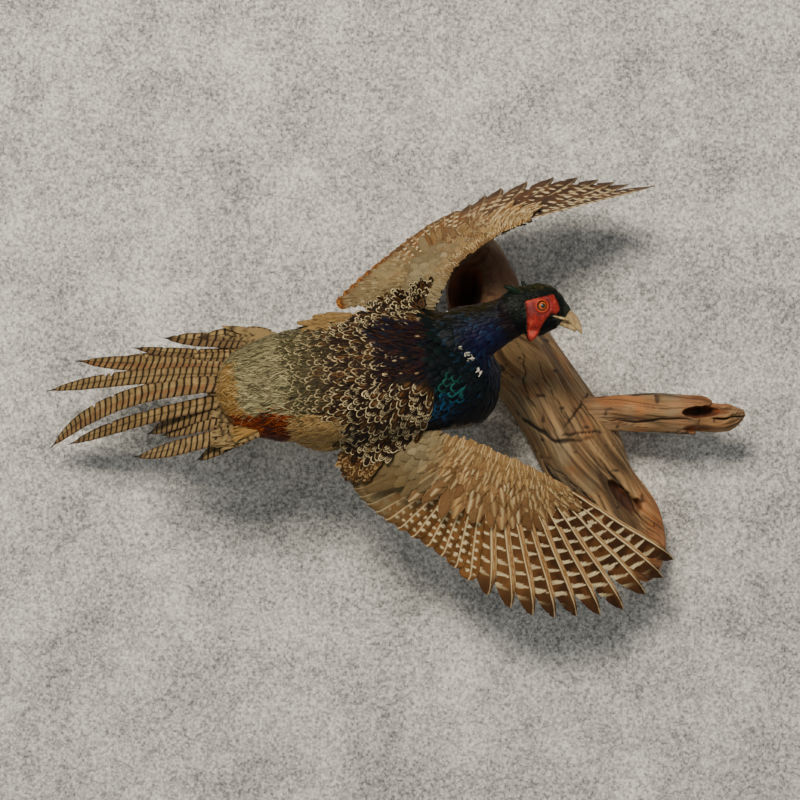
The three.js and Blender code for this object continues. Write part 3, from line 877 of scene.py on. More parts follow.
def turned(way: Array, facing: Array, angle: Array) -> Array:
    """Directions turned about their facings by angles in radians."""
    return way * np.cos(angle) + np.cross(facing, way) * np.sin(angle)


def through(places: Array, t: Array) -> Array:
    """Places at t along many curves, each of which runs through one row of places."""
    return np.moveaxis(along(np.moveaxis(places, 1, 0), t), 0, 1)


def feather_grid(spine: Array, facing: Array, half: Array, u: Array, back: Array,
                 height: Array) -> Array:
    """Points of feathers along their spines.

    Args:
        spine: Places along each shaft, of shape (feathers, rows, 3).
        facing: The way out of the coat at each.
        half: Half widths, of shape (feathers, rows).
        u: -1 to 1 across the feather, of shape (columns).
        back: How far each point lies back along the shaft, of shape (feathers, rows, columns).
        height: How far each point is raised.

    Returns:
        Points of shape (feathers, rows, columns, 3).
    """
    run = unit(np.gradient(spine, axis=1))
    side = unit(np.cross(run, facing))
    wide = half[..., None] * u
    return (spine[:, :, None] + side[:, :, None] * wide[..., None]
            - run[:, :, None] * back[..., None] + facing[:, :, None] * height[..., None])


def patches(home: Array, u: Array, t: Array, size: float) -> Array:
    """Each feather's patch of the baked map, some patches wide and centred on its home."""
    grid = np.stack(np.meshgrid(u / 2, t - 0.5), axis=-1)
    return np.clip(home[:, None, None] + grid * PATCH * size, 0.001, 0.999)


@dataclass
class Leaves:
    """Small feathers laid in one go, and where each of their points lies on the feather, in mm."""

    length: Array  # of each feather
    half: Array  # half widths, of shape (feathers, rows)
    t: Array  # 0 to 1 from root to tip
    u: Array  # -1 to 1 across
    blunt: float  # how far the tip's corners are drawn back

    def __post_init__(self) -> None:
        """Measures the distances to the shaft, the tip and the edge."""
        self.wide = self.half[..., None]
        self.across = self.wide * self.u
        up = (self.length[:, None] * (1 - self.t))[..., None]
        self.up = np.broadcast_to(up, self.across.shape)
        sides = self.wide * (1 - np.abs(self.u))
        near = -0.7 * np.log(np.exp(-self.up / 0.7) + np.exp(-sides * 1.2 / 0.7)) + 0.3
        self.edge = np.maximum(near, 0)
        curve = 1 - np.sqrt(1 - (0.985 * self.u) ** 2)
        self.back = (self.half * self.t ** 2)[..., None] * curve * self.blunt
        self.apart = per(40 * np.arange(len(self.length)))  # so that no two have the same streaks

    def add_to(self, made: Grids, spine: Array, facing: Array, height: Array, tint: Array,
               home: Array, size: float = 3.0, run: Array | None = None) -> None:
        """Adds the feathers.

        Args:
            made: The mesh that they go into.
            spine: Places along each shaft.
            facing: The way out of the coat at each.
            height: How far each point is raised.
            tint: Linear colours of the points.
            home: Each feather's place on the baked map.
            size: How wide its patch there is.
            run: How far along its streaks each point lies, where that is not from the root.
        """
        points = feather_grid(spine, facing, self.half, self.u, self.back, height)
        if run is None:
            run = per(self.length) - self.up - self.back + self.apart
        vane = np.stack([self.across, run], axis=-1)
        made.add(points, tint, vane, patches(home, self.u, self.t, size))


@dataclass
class Markings:
    """How the colours of one tract lie on its feathers."""

    zone: Zone
    body: Body
    root: Array
    leaves: Leaves
    rng: np.random.Generator

    def draw(self) -> Array:
        """Linear colours of every point."""
        leaves, rng, zone, n = self.leaves, self.rng, self.zone, len(self.root)
        edge, up, across = leaves.edge, leaves.up, leaves.across
        x, z = self.root[:, 0], self.root[:, 2]
        pick, shade = rng.random(n), rng.uniform(0.75, 1.3, n)
        each, bright, lone = per(pick), per(shade)[..., None], per(np.arange(n))
        if zone in (Zone.SCAPULAR, Zone.BACK):
            return self.scallops(pick) * bright
        if zone is Zone.MANTLE:
            side = noise(self.root / 22.0, 2)
            rim = step(-x, 192, 228) * (1 - step(z, 60, 92) * 0.5)
            fleck = band(edge, 0.5, 1.4, 0.25) * (1 - step(up, 2.5, 6.5)) * per(pick < 0.07 + 0.75 * rim)
            spot = (np.abs(across) < 0.5) & (up < 5) & (up > 2)
            return layers(
                "#08070D", ("#1E090B", per(step(side, -0.3, 0.5))),
                ("#0A1020", per(step(z + 20 * side, 84, 100))), ("#38200F", (each > 0.8) * 0.7),
                ("#C8B488", fleck), ("#B8A278", spot * per(rng.random(n) < 0.14) * 0.8))
        if zone is Zone.BREAST:
            patch = np.exp(-((x - z * 0.62 + 172) ** 2) / 260.0) * step(z, 0, 16) * (1 - step(z, 44, 60))
            glint = per(patch * rng.uniform(0.0, 1.0, n) ** 1.3) * band(edge, 0.0, 2.2, 0.8)
            sheen = blend("#1A5A8E", "#1E7A66", per(step(z, 22, 46)))
            return layers(ZONE_TONES[zone], ("#070D16", each * 0.8),
                          ("#071B15", per(step(z, 48, 80) * pick) * 0.8), (sheen, glint * 0.9))
        if zone is Zone.NECK:
            i = nearest(self.root, self.body.line)
            arc, rise = self.body.arc[i], unit(self.root - self.body.line[i]) @ UP
            violet = per(step(-np.abs(arc - 92), -30, -8) * step(-rise, -0.65, 0.1))
            nape = per(step(rise, 0.45, 0.85))
            maroon = per(step(-np.abs(arc - 62), -9, -3)) * (1 - nape)
            # the last coat, pale blue on the rims of a few feathers, is painted glints
            return layers(
                "#06090D", ("#081518", each), (blend("#120D2C", "#0D1434", each), violet * 0.9),
                (blend("#18180B", "#342A10", each), nape), ("#160A0E", maroon * 0.8),
                ("#20466A", (each > 0.86) * band(edge, 0.3, 1.2, 0.4) * 0.35))
        if zone is Zone.HEAD:
            top = per(step(z, 134, 142))
            return bright ** 2 * layers("#0C120F", ("#1A200F", top), ("#3A2F16", top * (each > 0.6) * 0.7),
                                        ("#04060B", per(step(-z, -112, -100))))
        if zone is Zone.RING:
            return blend("#D2CEC0", "#5E5E56", (each > 0.55) * 0.8)
        if zone is Zone.AMBER:
            return blend("#5A4420", "#84683A", each) * bright
        if zone is Zone.FLANK:
            return bright * layers("#5E2006", ("#80380A", each),
                                   ("#220703", per(step(x, -362, -334)) * 0.94))
        if zone is Zone.ARM:
            arc = band(edge, 0.6, 1.3, 0.3) * (1 - step(up, 2.5, 6.0)) * per(rng.random(n) < 0.6)
            flecks = step(plane_noise(across / 1.3, up / 1.8, lone), 0.45, 0.6) * 0.7
            return bright * layers("#2E1C0C", ("#4E361A", each), ("#B89C68", np.maximum(arc * 0.9, flecks)))
        if zone is Zone.BELLY:
            return layers(ZONE_TONES[zone], ("#3A281C", each * 0.7), ("#0C0A0C", per(step(x, -240, -190))))
        mottle = plane_noise(across / 1.1 + 7, up / 1.6, lone)
        if zone is Zone.THIGH:
            return blend("#8E7346", "#5A4224", step(mottle, 0.0, 0.6)) * bright
        mark = (band(edge, 0.6, 1.3, 0.3) * (1 - step(up, 4, 8)) * per(rng.random(n) < 0.55)
                * (1 - per(step(-x, 330, 362))))
        return bright * layers("#57533A", ("#86815E", each), ("#332F1E", step(mottle, 0.15, 0.6) * 0.7),
                               ("#B8AE84", mark))

    def scallops(self, pick: Array) -> Array:
        """Dark feathers with one or two cream arcs inside the tip; greyer towards the rump."""
        leaves, n, bold = self.leaves, len(self.root), self.zone is Zone.SCAPULAR
        edge, up, half = leaves.edge, leaves.up, leaves.wide
        grey = per(np.zeros(n) if bold else step(-self.root[:, 0], 255, 330))
        dark = blend("#0E0804", "#37331F", grey)
        inner = layers("#2C1808", ("#5C583C", grey), ("#6E4A24", per(pick > 0.7) * 0.7 * (1 - grey)))
        cream = blend("#DCCB9C" if bold else "#CDB98A", "#B2A77C", grey)
        wide = per(self.rng.uniform(0.7, 1.2, n)) * (0.8 if bold else 0.65)
        tip = 1 - step(up, half, half * 1.8)
        second = band(edge, 3.5, 4.3, 0.3) * per(pick < 0.45)
        first = band(edge, 0.8, 0.8 + wide, 0.3) * (1 - per(self.rng.random(n) < 0.12))
        return layers(
            inner, (dark, band(edge, 1.9, 4.2, 0.5) * 0.95),
            (cream, second * tip * (0.75 if bold else 0.25)), (cream, first * tip),
            (dark, step(up, 8.0, 13.0) * (0.8 if bold else 0.2)), (dark * 0.8, 1 - step(edge, 0.5, 0.9)))


@dataclass
class Coat:
    """The body's feathers, laid like tiles from the bill to the tail."""

    body: Body
    rng: np.random.Generator
    pieces: dict = field(default_factory=dict)

    def piece(self, name: str) -> Grids:
        """The growing mesh of that name."""
        return self.pieces.setdefault(name, Grids(name))

    def sow(self, zone: Zone, spacing: float) -> Array:
        """Roots on the skin of one zone, none closer together than a share of the spacing."""
        corners = self.body.points[self.body.faces]
        cross = np.cross(corners[:, 2] - corners[:, 0], corners[:, 3] - corners[:, 1])
        area = np.linalg.norm(cross, axis=1) / 2
        own = np.where(self.face_zones == zone.value)[0]
        if not len(own):
            return np.zeros((0, 3))
        total = area[own].sum()
        count = int(4 * total / spacing ** 2)
        c = corners[own[self.rng.choice(len(own), size=count, p=area[own] / total)]]
        s, t = self.rng.random((2, count, 1))
        points = (c[:, 0] * (1 - s) + c[:, 1] * s) * (1 - t) + (c[:, 3] * (1 - s) + c[:, 2] * s) * t
        return points[spread(points, spacing * 0.8)]

    def lay(self, root: Array, length: Array, wander: float, steps: int = 4) -> tuple[Array, Array]:
        """Follows the skin from each root.

        Args:
            root: Places on the skin.
            length: Length of each feather.
            wander: Spread of the directions in radians.
            steps: How many steps each takes.

        Returns:
            Places and facings of shape (feathers, steps + 1, 3).
        """
        spot, facing = self.body.settle(root)
        way = turned(self.lie(spot, facing), facing, self.rng.normal(0, wander, len(root))[:, None])
        spots, facings = [spot], [facing]
        for _ in range(steps):
            spot, new = self.body.settle(spot + way * (length / steps)[:, None])
            facing = unit(facing * 0.5 + new * 0.5)
            way = unit(flatten(way, facing))
            spots.append(spot)
            facings.append(facing)
        return np.stack(spots, axis=1), np.stack(facings, axis=1)

    def lie(self, spot: Array, facing: Array) -> Array:
        """The lie of the coat, which fans out towards the wings at the shoulders."""
        beside = spot[:, 2] - 50  # above or below the back's middle
        near = bell(spot[:, 0] + 225, 42) * step(np.abs(beside), 18, 60)
        away = unit(flatten(np.sign(beside)[:, None] * UP, facing))
        return unit(self.body.flow(spot, facing) + away * near[:, None] * 0.9)

    def grow(self) -> None:
        """Lays every tract, every cape and the loose barbs."""
        self.face_zones = zone_of(self.body, self.body.points[self.body.faces].mean(axis=1))
        for tract in TRACTS:
            root = self.sow(tract.zone, tract.spacing)
            if tract.zone is Zone.HEAD:
                root = root[Head.feathered(root)]
            if len(root):
                self.lay_tract(tract, root)
        for cape in CAPES:
            self.lay_cape(cape)
        for row in BARBS:
            self.barbs(*row)

    def lay_cape(self, cape: Cape) -> None:
        """Lays the feathers that bridge the body and one wing's root, over both."""
        tract, (rx, rz), lean = cape.tract, cape.reach, math.radians(cape.lean)
        count = int(12 * rx * rz / tract.spacing ** 2)
        angle, far = self.rng.uniform(0, 2 * np.pi, count), np.sqrt(self.rng.random(count))
        wide, tall = rx * far * np.cos(angle), rz * far * np.sin(angle)
        x = cape.middle[0] + wide * math.cos(lean) - tall * math.sin(lean)
        z = cape.middle[1] + wide * math.sin(lean) + tall * math.cos(lean)
        flat = np.stack([x, z], axis=-1)[spread(np.stack([x, z, z * 0], axis=-1), tract.spacing * 0.8)]
        sheet = self.sheet(cape)
        root = sheet(flat)[0]
        out = unit(root - np.array(cape.source)) * (1, 0, 1)
        ways = unit(out + np.array(cape.pull))
        length = tract.length * self.rng.uniform(0.82, 1.15, len(root))
        turn = -self.rng.normal(0, tract.wander, len(root))[:, None]
        go = turned(ways, UP[[0, 2, 1]], turn)[:, None, ::2]
        t = np.linspace(0, 1, 5)[None, :, None]
        self.lay_tract(tract, root, length, sheet(flat[:, None] + go * t * per(length)))

    def sheet(self, cape: Cape) -> Callable[[Array], tuple[Array, Array]]:
        """A smooth sheet stretched over the body and a wing's root, as a function of X and Z."""
        (cx, cz), far, pitch = cape.middle, max(cape.reach) + 40, 4.0
        count = int(2 * far / pitch) + 1
        xs, zs = cx - far + pitch * np.arange(count), cz - far + pitch * np.arange(count)
        high = np.full((count, count), np.nan)
        for i, j in np.ndindex(count, count):
            hit = self.body.tree.ray_cast(Vector((xs[i], -400.0, zs[j])), Vector((0, 1, 0)))[0]
            high[i, j] = np.nan if hit is None else hit.y
        for x, y, z in np.concatenate([wing.blade() for wing in WINGS.values()]):
            i, j = round((x - xs[0]) / pitch), round((z - zs[0]) / pitch)
            if 0 <= i < count and 0 <= j < count and np.isnan(high[i, j]):
                high[i, j] = y - 4.0
        known = high < cape.floor
        sunk = ~known & ~np.isnan(high)
        smooth = np.where(known, high, high[known].mean())
        for _ in range(60):
            mean = neighbours(smooth)
            smooth = np.where(known, np.minimum(high, mean) * 0.5 + high * 0.5, mean)
        smooth[sunk] = smooth[sunk] * 0.8 + high[sunk] * 0.2
        for _ in range(5):
            smooth = neighbours(smooth)
        smooth = np.where(known, np.minimum(smooth, high), smooth) - cape.height
        table = np.stack([smooth, *np.gradient(smooth, pitch)], axis=-1)

        def read(flat: Array) -> tuple[Array, Array]:
            """Places and facings on the sheet."""
            at = (flat - (xs[0], zs[0])) / pitch
            i, j = np.moveaxis(np.clip(at.astype(int), 0, count - 2), -1, 0)
            u, v = np.moveaxis(np.clip(at - np.stack([i, j], -1), 0, 1), -1, 0)
            left = blend(table[i, j], table[i, j + 1], v)
            y, lean_x, lean_z = np.moveaxis(
                blend(left, blend(table[i + 1, j], table[i + 1, j + 1], v), u), -1, 0)
            facing = np.stack([lean_x, -np.ones_like(y), lean_z], axis=-1)
            return np.stack([flat[..., 0], y, flat[..., 1]], axis=-1), unit(facing)

        return read

    def lay_tract(self, tract: Tract, root: Array, length: Array | None = None,
                  laid: tuple[Array, Array] | None = None) -> None:
        """Lays one tract's feathers.

        Args:
            tract: Their sizes and kind.
            root: Their roots.
            length: Their lengths, where they are already drawn.
            laid: The places and facings that each follows, where it isn't the skin.
        """
        n = len(root)
        if length is None:
            length = tract.length * self.rng.uniform(0.82, 1.15, n)
        width = tract.width * self.rng.uniform(0.88, 1.12, n)
        if tract.zone is Zone.BACK:
            small = 0.8 + 0.3 * step(root[:, 0], -330, -250)
            length, width = length * small, width * small
        spots, facings = laid or self.lay(root, length, tract.wander)
        t = 1 - (1 - np.linspace(0, 1, tract.rows)) ** 1.4
        u = np.sin(np.linspace(-1, 1, tract.columns) * np.pi / 2)
        shape = np.interp(t, [0, 0.35, 0.7, 1], [0.45, 0.92, 1, 1 - 0.75 * tract.point])
        leaves = Leaves(length, width[:, None] / 2 * shape, t, u, 1 + tract.point)
        rise = tract.rise * self.rng.uniform(0.6, 1.25, n)
        high = 0.25 + rise[:, None] * np.clip(t * 1.5, 0, 1) ** 0.8
        tilt = per(self.rng.normal(0, 0.12, n)) * leaves.across
        height = np.maximum(high[..., None] - 0.22 * leaves.wide * u ** 2 + tilt, 0.1)
        tint = Markings(tract.zone, self.body, root, leaves, self.rng).draw()
        leaves.add_to(self.piece(tract.piece), through(spots, t), unit(through(facings, t)), height,
                      tint, self.home(root), np.clip(tract.width / 5, 1, 3))

    def home(self, root: Array) -> Array:
        """Each root's place on the baked map."""
        return self.body.place(root, self.body.part_of(root), root)

    def barbs(self, zone: Zone, piece: str, spacing: float, length: float, colours: Sequence[str],
              wander: float, rise: float) -> None:
        """Loose barbs that give a tract its hairy look.

        Args:
            zone: Where they grow.
            piece: The mesh they go into.
            spacing: Distance between them in mm.
            length: Their length in mm.
            colours: What they are drawn from.
            wander: Spread of the directions in radians.
            rise: How far their tips stand over the skin in mm.
        """
        root = self.sow(zone, spacing)
        n = len(root)
        if not n:
            return
        long = length * self.rng.uniform(0.6, 1.2, n)
        spots, facings = self.lay(root, long, wander, 3)
        t, u = np.linspace(0, 1, 5), np.array([-1.0, 1.0])
        spine, facing = through(spots, t), unit(through(facings, t))
        half = self.rng.uniform(0.2, 0.42, n)[:, None] * np.array([0.6, 1, 1, 0.8, 0.25])
        bow = self.rng.normal(0, 0.8, n)[:, None] * t ** 2
        spine = spine + unit(np.cross(unit(np.gradient(spine, axis=1)), facing)) * bow[..., None]
        high = 0.6 + rise * self.rng.uniform(0.7, 1.3, n)[:, None] * (t + 0.35)
        points = feather_grid(spine, facing, half, u, np.zeros((n, 5, 2)), high[..., None])
        table = np.stack([linear(c) for c in colours])
        tint = table[self.rng.integers(0, len(table), n)] * self.rng.uniform(0.7, 1.3, (n, 1))
        self.piece(piece).add(points, tint[:, None, None], np.full(2, 0.5),
                              patches(self.home(root), u, t, 1.0))


def neighbours(high: Array) -> Array:
    """The mean of each cell's four neighbours."""
    edge = np.pad(high, 1, mode="edge")
    return (edge[:-2, 1:-1] + edge[2:, 1:-1] + edge[1:-1, :-2] + edge[1:-1, 2:]) / 4


def spread(points: Array, gap: float) -> Array:
    """Indices of points picked in order so that none are closer than gap."""
    cells: dict[tuple, list] = {}
    kept = []
    near = [(i, j, k) for i in (-1, 0, 1) for j in (-1, 0, 1) for k in (-1, 0, 1)]
    keys = np.floor(points / gap).astype(int).tolist()
    for index, (p, (a, b, c)) in enumerate(zip(points.tolist(), keys)):
        beside = (q for i, j, k in near for q in cells.get((a + i, b + j, c + k), ()))
        if all((p[0] - q[0]) ** 2 + (p[1] - q[1]) ** 2 + (p[2] - q[2]) ** 2 >= gap * gap for q in beside):
            cells.setdefault((a, b, c), []).append(p)
            kept.append(index)
    return np.array(kept, dtype=int)


# ---------------------------------------------------------------- wings and tail


@dataclass(frozen=True)
class CovertRow:
    """One row of feathers across a wing's arm, in mm, and its share of the chord."""

    chord: float
    spacing: float
    length: float
    width: float
    rise: float


@dataclass
class WingFeathers:
    """All the feathers of one wing."""

    side: str
    rng: np.random.Generator
    tilt: float = 0.9  # how far a flight feather's front edge is raised over its middle
    top: tuple = (
        CovertRow(0.0, 2.6, 9, 4.0, 0.8), CovertRow(0.05, 3.6, 11, 5.5, 1.1),
        CovertRow(0.13, 5.6, 14, 9, 1.6), CovertRow(0.2, 6.2, 15, 9.5, 1.7),
        CovertRow(0.27, 6.6, 17, 10.5, 1.8), CovertRow(0.35, 7.2, 18, 11, 1.9),
        CovertRow(0.43, 7.6, 20, 12, 2.0), CovertRow(0.52, 8.2, 22, 12.5, 2.1),
        CovertRow(0.61, 8.8, 25, 13.5, 2.2), CovertRow(0.7, 9.4, 29, 14.5, 2.4),
        CovertRow(0.8, 10.0, 36, 15.5, 2.6),
    )
    veil: tuple = (CovertRow(0.84, 7.0, 44, 11, 2.7), CovertRow(0.95, 7.5, 50, 11, 2.4))
    under: tuple = (
        CovertRow(0.05, 6.5, 14, 9, 0.9), CovertRow(0.18, 7.5, 18, 11, 1.1),
        CovertRow(0.34, 8.5, 21, 13, 1.2), CovertRow(0.5, 9.5, 25, 14, 1.3),
        CovertRow(0.68, 10.5, 33, 16, 1.5),
    )

    def __post_init__(self) -> None:
        """Finds the wing's own lines."""
        self.wing, self.left = WINGS[self.side], self.side == "left"

    def coverts(self, name: str) -> Grids:
        """The small feathers over and under the arm."""
        made = Grids(name)
        for rows, over, reach in ((self.top, True, 1.0), (self.under, False, 1.0),
                                  (self.veil, True, 0.46 if self.left else 0.3)):
            for number, row in enumerate(rows):
                self.covert_row(made, row, over, number, reach)
        return made

    def covert_row(self, made: Grids, row: CovertRow, over: bool, number: int, reach: float) -> None:
        """Adds one row of coverts.

        Args:
            made: The mesh it goes into.
            row: Its sizes.
            over: True for the side that shows.
            number: Which row it is from the leading edge.
            reach: The share of the span that it covers.
        """
        wing, rng, shares = self.wing, self.rng, np.linspace(0, 1, 200)
        fine = wing.root(shares, row.chord)
        span = np.concatenate([[0], np.linalg.norm(np.diff(fine, axis=0), axis=1).cumsum()])
        n = int(reach * span[-1] / row.spacing)
        at = (np.arange(n) + 0.5 * (number % 2) + rng.uniform(-0.22, 0.22, n)) * row.spacing
        q = np.clip(np.interp(at, span, shares), 0, 1)
        c = row.chord + rng.uniform(-0.025, 0.025, n)
        lead, chord, facing, thick = wing.ring_lines(q)
        facing = facing if over else -facing
        back = unit(chord)
        share = 0.35 + 0.55 * row.chord + 0.25 * step(q, 0.6, 1.0)
        way = unit(blend(back, wing.toward(q), np.clip(share, 0, 0.95)))
        way = unit(flatten(turned(way, facing, rng.normal(0, 0.13, n)[:, None]), facing))
        small = 1 - 0.25 * step(q, 0.75, 1.0)
        length = row.length * rng.uniform(0.88, 1.12, n) * small
        width = row.width * rng.uniform(0.9, 1.1, n) * small
        t = 1 - (1 - np.linspace(0, 1, 11)) ** 1.3
        u = np.sin(np.linspace(-1, 1, 9) * np.pi / 2)
        half = width[:, None] / 2 * np.interp(t, [0, 0.35, 0.75, 1], [0.5, 0.95, 0.9, 0.42])
        leaves = Leaves(length, half, t, u, 1.25)
        gone = length[:, None] * t
        c_run = c[:, None] + (way * back).sum(axis=1)[:, None] * gone / np.linalg.norm(chord, axis=1)[:, None]
        surface = np.abs(wing.height(c_run, over)) * thick[:, None]
        lift = 0.3 + row.rise * rng.uniform(0.75, 1.25, n)[:, None] * np.clip(t * 1.4, 0, 1)
        high = surface + lift + step(c_run, 1.0, 1.3) * (0.8 if over else 0.3)
        spine = ((lead + chord * c[:, None])[:, None] + way[:, None] * gone[..., None]
                 + facing[:, None] * high[..., None])
        height = per(rng.normal(0, 0.07, n)) * leaves.across - 0.16 * leaves.wide * u ** 2
        home = np.stack([0.03 + 0.94 * q, (0.52 if over else 0.02) + 0.44 * c], axis=-1)
        leaves.add_to(made, spine, np.broadcast_to(facing[:, None], spine.shape), height,
                      self.covert_tint(q, c, over, leaves), home)

    def covert_tint(self, q: Array, c: Array, over: bool, leaves: Leaves) -> Array:
        """Colours of one row of coverts at shares q of the span and c of the chord."""
        n, rng, left, edge, up, across = len(q), self.rng, self.left, leaves.edge, leaves.up, leaves.across
        pick, shade = per(rng.random(n)), per(rng.uniform(0.82, 1.18, n))[..., None]
        if not over:
            return shade * layers("#86785A", ("#5E4C34", pick), ("#A4946E", band(edge, 0.4, 1.4, 0.4) * 0.6))
        inner = per(1 - step(q + rng.normal(0, 0.02, n), 0.04, 0.16))
        olive = per(step(c + rng.normal(0, 0.05, n), 0.5, 0.85)) * (0.35 if left else 0.8)
        chevron = (band(edge, 0.4, 1.4, 0.3) * (1 - step(up, 2.5, 5.5))
                   * per(rng.random(n) < (0.34 if left else 0.16)))
        silver = layers(
            "#8C8060" if left else "#86795A", ("#6C5F42", pick),
            ("#4A3C26", (1 - step(edge, 0.2, 0.9)) * 0.3),
            (blend("#5C4A2C", "#463518", pick), olive), ("#2E2112", chevron * 0.8))
        cream = blend("#D8C698", "#B4965E", pick)
        if left:
            wild = per(step(q + 0.1 * c + rng.normal(0, 0.05, n), 0.42, 0.62))
            wild = np.maximum(wild, per(step(-c, -0.3, -0.06) * step(q, 0.2, 0.45)) * 0.8)
            rim = band(edge, 0.5, 1.4, 0.3) * (1 - step(up, leaves.wide * 1.6, leaves.wide * 2.8))
            far = per(step(q, 0.62, 0.74))
            spot = ((across / 2.2) ** 2 + ((up % 7.5 - 4) / 2.6) ** 2 < 1) & (edge > 0.5)
            rich = layers(
                "#6A4A28", ("#8A6C42", pick), ("#3A2410", band(edge, 1.5, 3.0, 0.5) * 0.75),
                (cream, rim * 0.85), (cream, band(edge, 3.0, 4.0, 0.4) * (pick > 0.5) * 0.5),
                (layers("#6E4E2C", ("#80603A", pick), (cream, spot * 0.9)), far * per(step(c, 0.25, 0.4))),
                (cream, (np.abs(across) < 0.5) * far * 0.8))
        else:
            wild = per(step(q - 0.12 * c + rng.normal(0, 0.03, n), 0.2, 0.34))
            gold = per(1 - step(c, 0.12, 0.3))
            rim = band(edge, 0.3, 1.0, 0.25) * (1 - step(up, leaves.wide * 1.2, leaves.wide * 2.6))
            rich = layers(
                "#6C4E2E", ("#8C6C46", pick), ("#866840", gold), ("#45290F", band(edge, 1.6, 3.0, 0.6) * 0.4),
                (cream, rim * (0.34 - 0.1 * gold)),
                (cream, (np.abs(across) < 0.4) * per(rng.random(n) < 0.8) * 0.7))
        flecks = plane_noise(across / 1.2, up / 1.8, per(np.arange(n)))
        flecked = layers("#3A2512", ("#5A3E1E", pick), (cream, step(flecks, 0.4, 0.55) * 0.75),
                         (cream, band(edge, 0.6, 1.3, 0.3) * (up < 4) * 0.6))
        return shade * layers(silver, (rich, wild), (flecked, inner * (0.7 if left else 0.9)))

    def flight(self, name: str, hand: bool) -> Grids:
        """The primaries or the secondaries as one mesh, innermost first."""
        wing, made = self.wing, Grids(name)
        k = np.arange(wing.primaries if hand else wing.secondaries)
        part = k / (len(k) - 1)
        if hand:
            s = np.where(k == k[-1], 9, 4 + 0.5 * k) / 9
            root = wing.root(wing.wrist + (wing.last - wing.wrist) * part, 0.8 - 0.05 * k)
        else:
            s = wing.inner_tips * part / 9
            root = wing.root(wing.first + (wing.wrist - 0.03 - wing.first) * part, 0.82)
        tip = along(wing.tips, s)
        run = tip - root
        normal = unit(np.cross(run, along(wing.tips, np.minimum(s + 0.03, 1)) - along(wing.tips, s - 0.03)))
        bend = 0.02 + 0.0054 * k[:, None] * hand
        bow = (root + tip) / 2 - np.cross(normal, run) * bend - 2 * normal
        count = len(k)
        for i in range(count):
            shaft = 0.52 + 0.2 * i / count if hand else 0.2
            vane = Vane(root[i], bow[i], tip[i], 12.6 - 0.12 * i if hand else 12.0, normal[i], self.rng,
                        shaft, self.tilt, PRIMARY if hand else SECONDARY)
            paint = self.primary_tint if hand else self.secondary_tint
            vane.add_to(made, lambda y, x, edge: paint(y, x, i), i, count)
        return made

    def primary_tint(self, y: Array, x: Array, k: int) -> Array:
        """Colours of one primary.

        Args:
            y: Distance from the tip in mm.
            x: Distance from the shaft in mm, towards the leading edge.
            k: Its number from the wrist.

        Returns:
            Linear colours.
        """
        left, cream = self.left, "#DCCB9E"
        pitch = 11.5 if left else 16.0  # mm from bar to bar
        wander = plane_noise(y / 9, x / 6, k + 11 * left)
        phase = ((y - 0.55 * np.abs(x) + wander * 2.2 + 3.1 * k) / pitch) % 1
        into = np.clip(-x / 16.0, 0, 1)
        if left:
            mark = ((phase - 0.5) * pitch / 2.4) ** 2 + ((x + 3.4 + 4 * (k % 2)) / 2.8) ** 2 < 1
            dashes = (y + 5 * k) / pitch % 1 < 0.42
        else:
            mark = (np.abs(phase - 0.5) < 0.02 + 0.19 * into ** 0.8) & (into > 0.16)
            dashes = False
        strip = layers(
            "#8A6238", ("#CDB482", step(np.sin(x * 2.6 + wander * 2), -0.2, 0.7) * 0.6),
            (cream, 0.45 * left), ("#3A2210", dashes * np.full(1, 0.85)))
        return layers(
            "#3A2210", ("#5E3C1E", step(wander, -0.4, 0.6)), ("#8A6238", (1 - step(k, 0.0, 4.5)) * 0.45),
            (cream, mark * step(y, 14, 40) * (0.92 - 0.3 * step(wander, 0, 0.6))),
            (strip, step(x, 0.3, 1.0) * (0.2 + 0.8 * step(y, 10, 34))),
            ("#2A180A", (1 - step(y, 8, 34)) * 0.65),
            (cream, (np.abs(x - 0.2) < 0.6) * (0.45 if left else 0.9) * (0.4 + 0.6 * step(y, 8, 36))))

    def secondary_tint(self, y: Array, x: Array, k: int) -> Array:
        """Colours of one secondary, which turn rusty towards the body on the raised wing."""
        left, dark, cream = self.left, "#352110", "#DCCB9E"
        wander = plane_noise(y / 7, x / 5, k + 31 + 11 * left)
        body = blend("#5A3C1C", "#7A542C", step(wander, -0.4, 0.5))
        inward = 1 - step(k, 4.0, 9.0)
        for shift, middle in ((0.0, -4.2), (0.45, 3.6)):
            phase = ((y + 4.3 * k + wander * 1.6) / 10.5 + shift) % 1 - 0.5
            blot = (phase * 10.5 / 2.3) ** 2 + ((x - middle) / 2.6) ** 2 + wander * 0.4
            pale = (1 - step(blot, 0.7, 1.1)) * step(y, 4, 12) * (0.9 - 0.75 * inward)
            body = layers(body, (dark, (1 - step(blot, 1.2, 2.2)) * 0.5), (cream, pale))
        ragged, shaft = y + plane_noise(x / 1.2, y * 0, k + 7) * 3, np.abs(x) < 0.5
        if not left:
            olive = blend(linear("#8A7C58") * 0.7, "#5A3C1C", step(wander, -0.2, 0.6) * 0.6)
            return layers(body, (olive, inward * 0.85), (dark, inward * (1 - step(ragged, 4, 10)) * 0.6),
                          (cream, shaft * (0.7 - 0.45 * inward)))
        streak = plane_noise(x / 0.9, y / 7, k + 91)
        speck = step(plane_noise(x / 1.5, y / 2.2, k + 51), 0.4, 0.6)
        near = (1 - step(k, 1.0, 5.0)) * 0.5 + speck * 0.5
        silver = layers(
            "#8A7C58", ("#7A542C", step(wander, 0.1, 0.7) * 0.4),
            (dark, np.clip(near * 0.8 + step(streak, 0.1, 0.7) * 0.4, 0, 0.9)),
            (cream, step(-streak, 0.3, 0.8) * 0.3))
        gold = band(ragged, 2.2, 3.4, 0.4) + (1 - step(ragged, 0.4, 1.0)) * 0.6
        rusty = blend(linear("#5E3412") * 0.8, "#A87030", np.clip(gold, 0, 1))
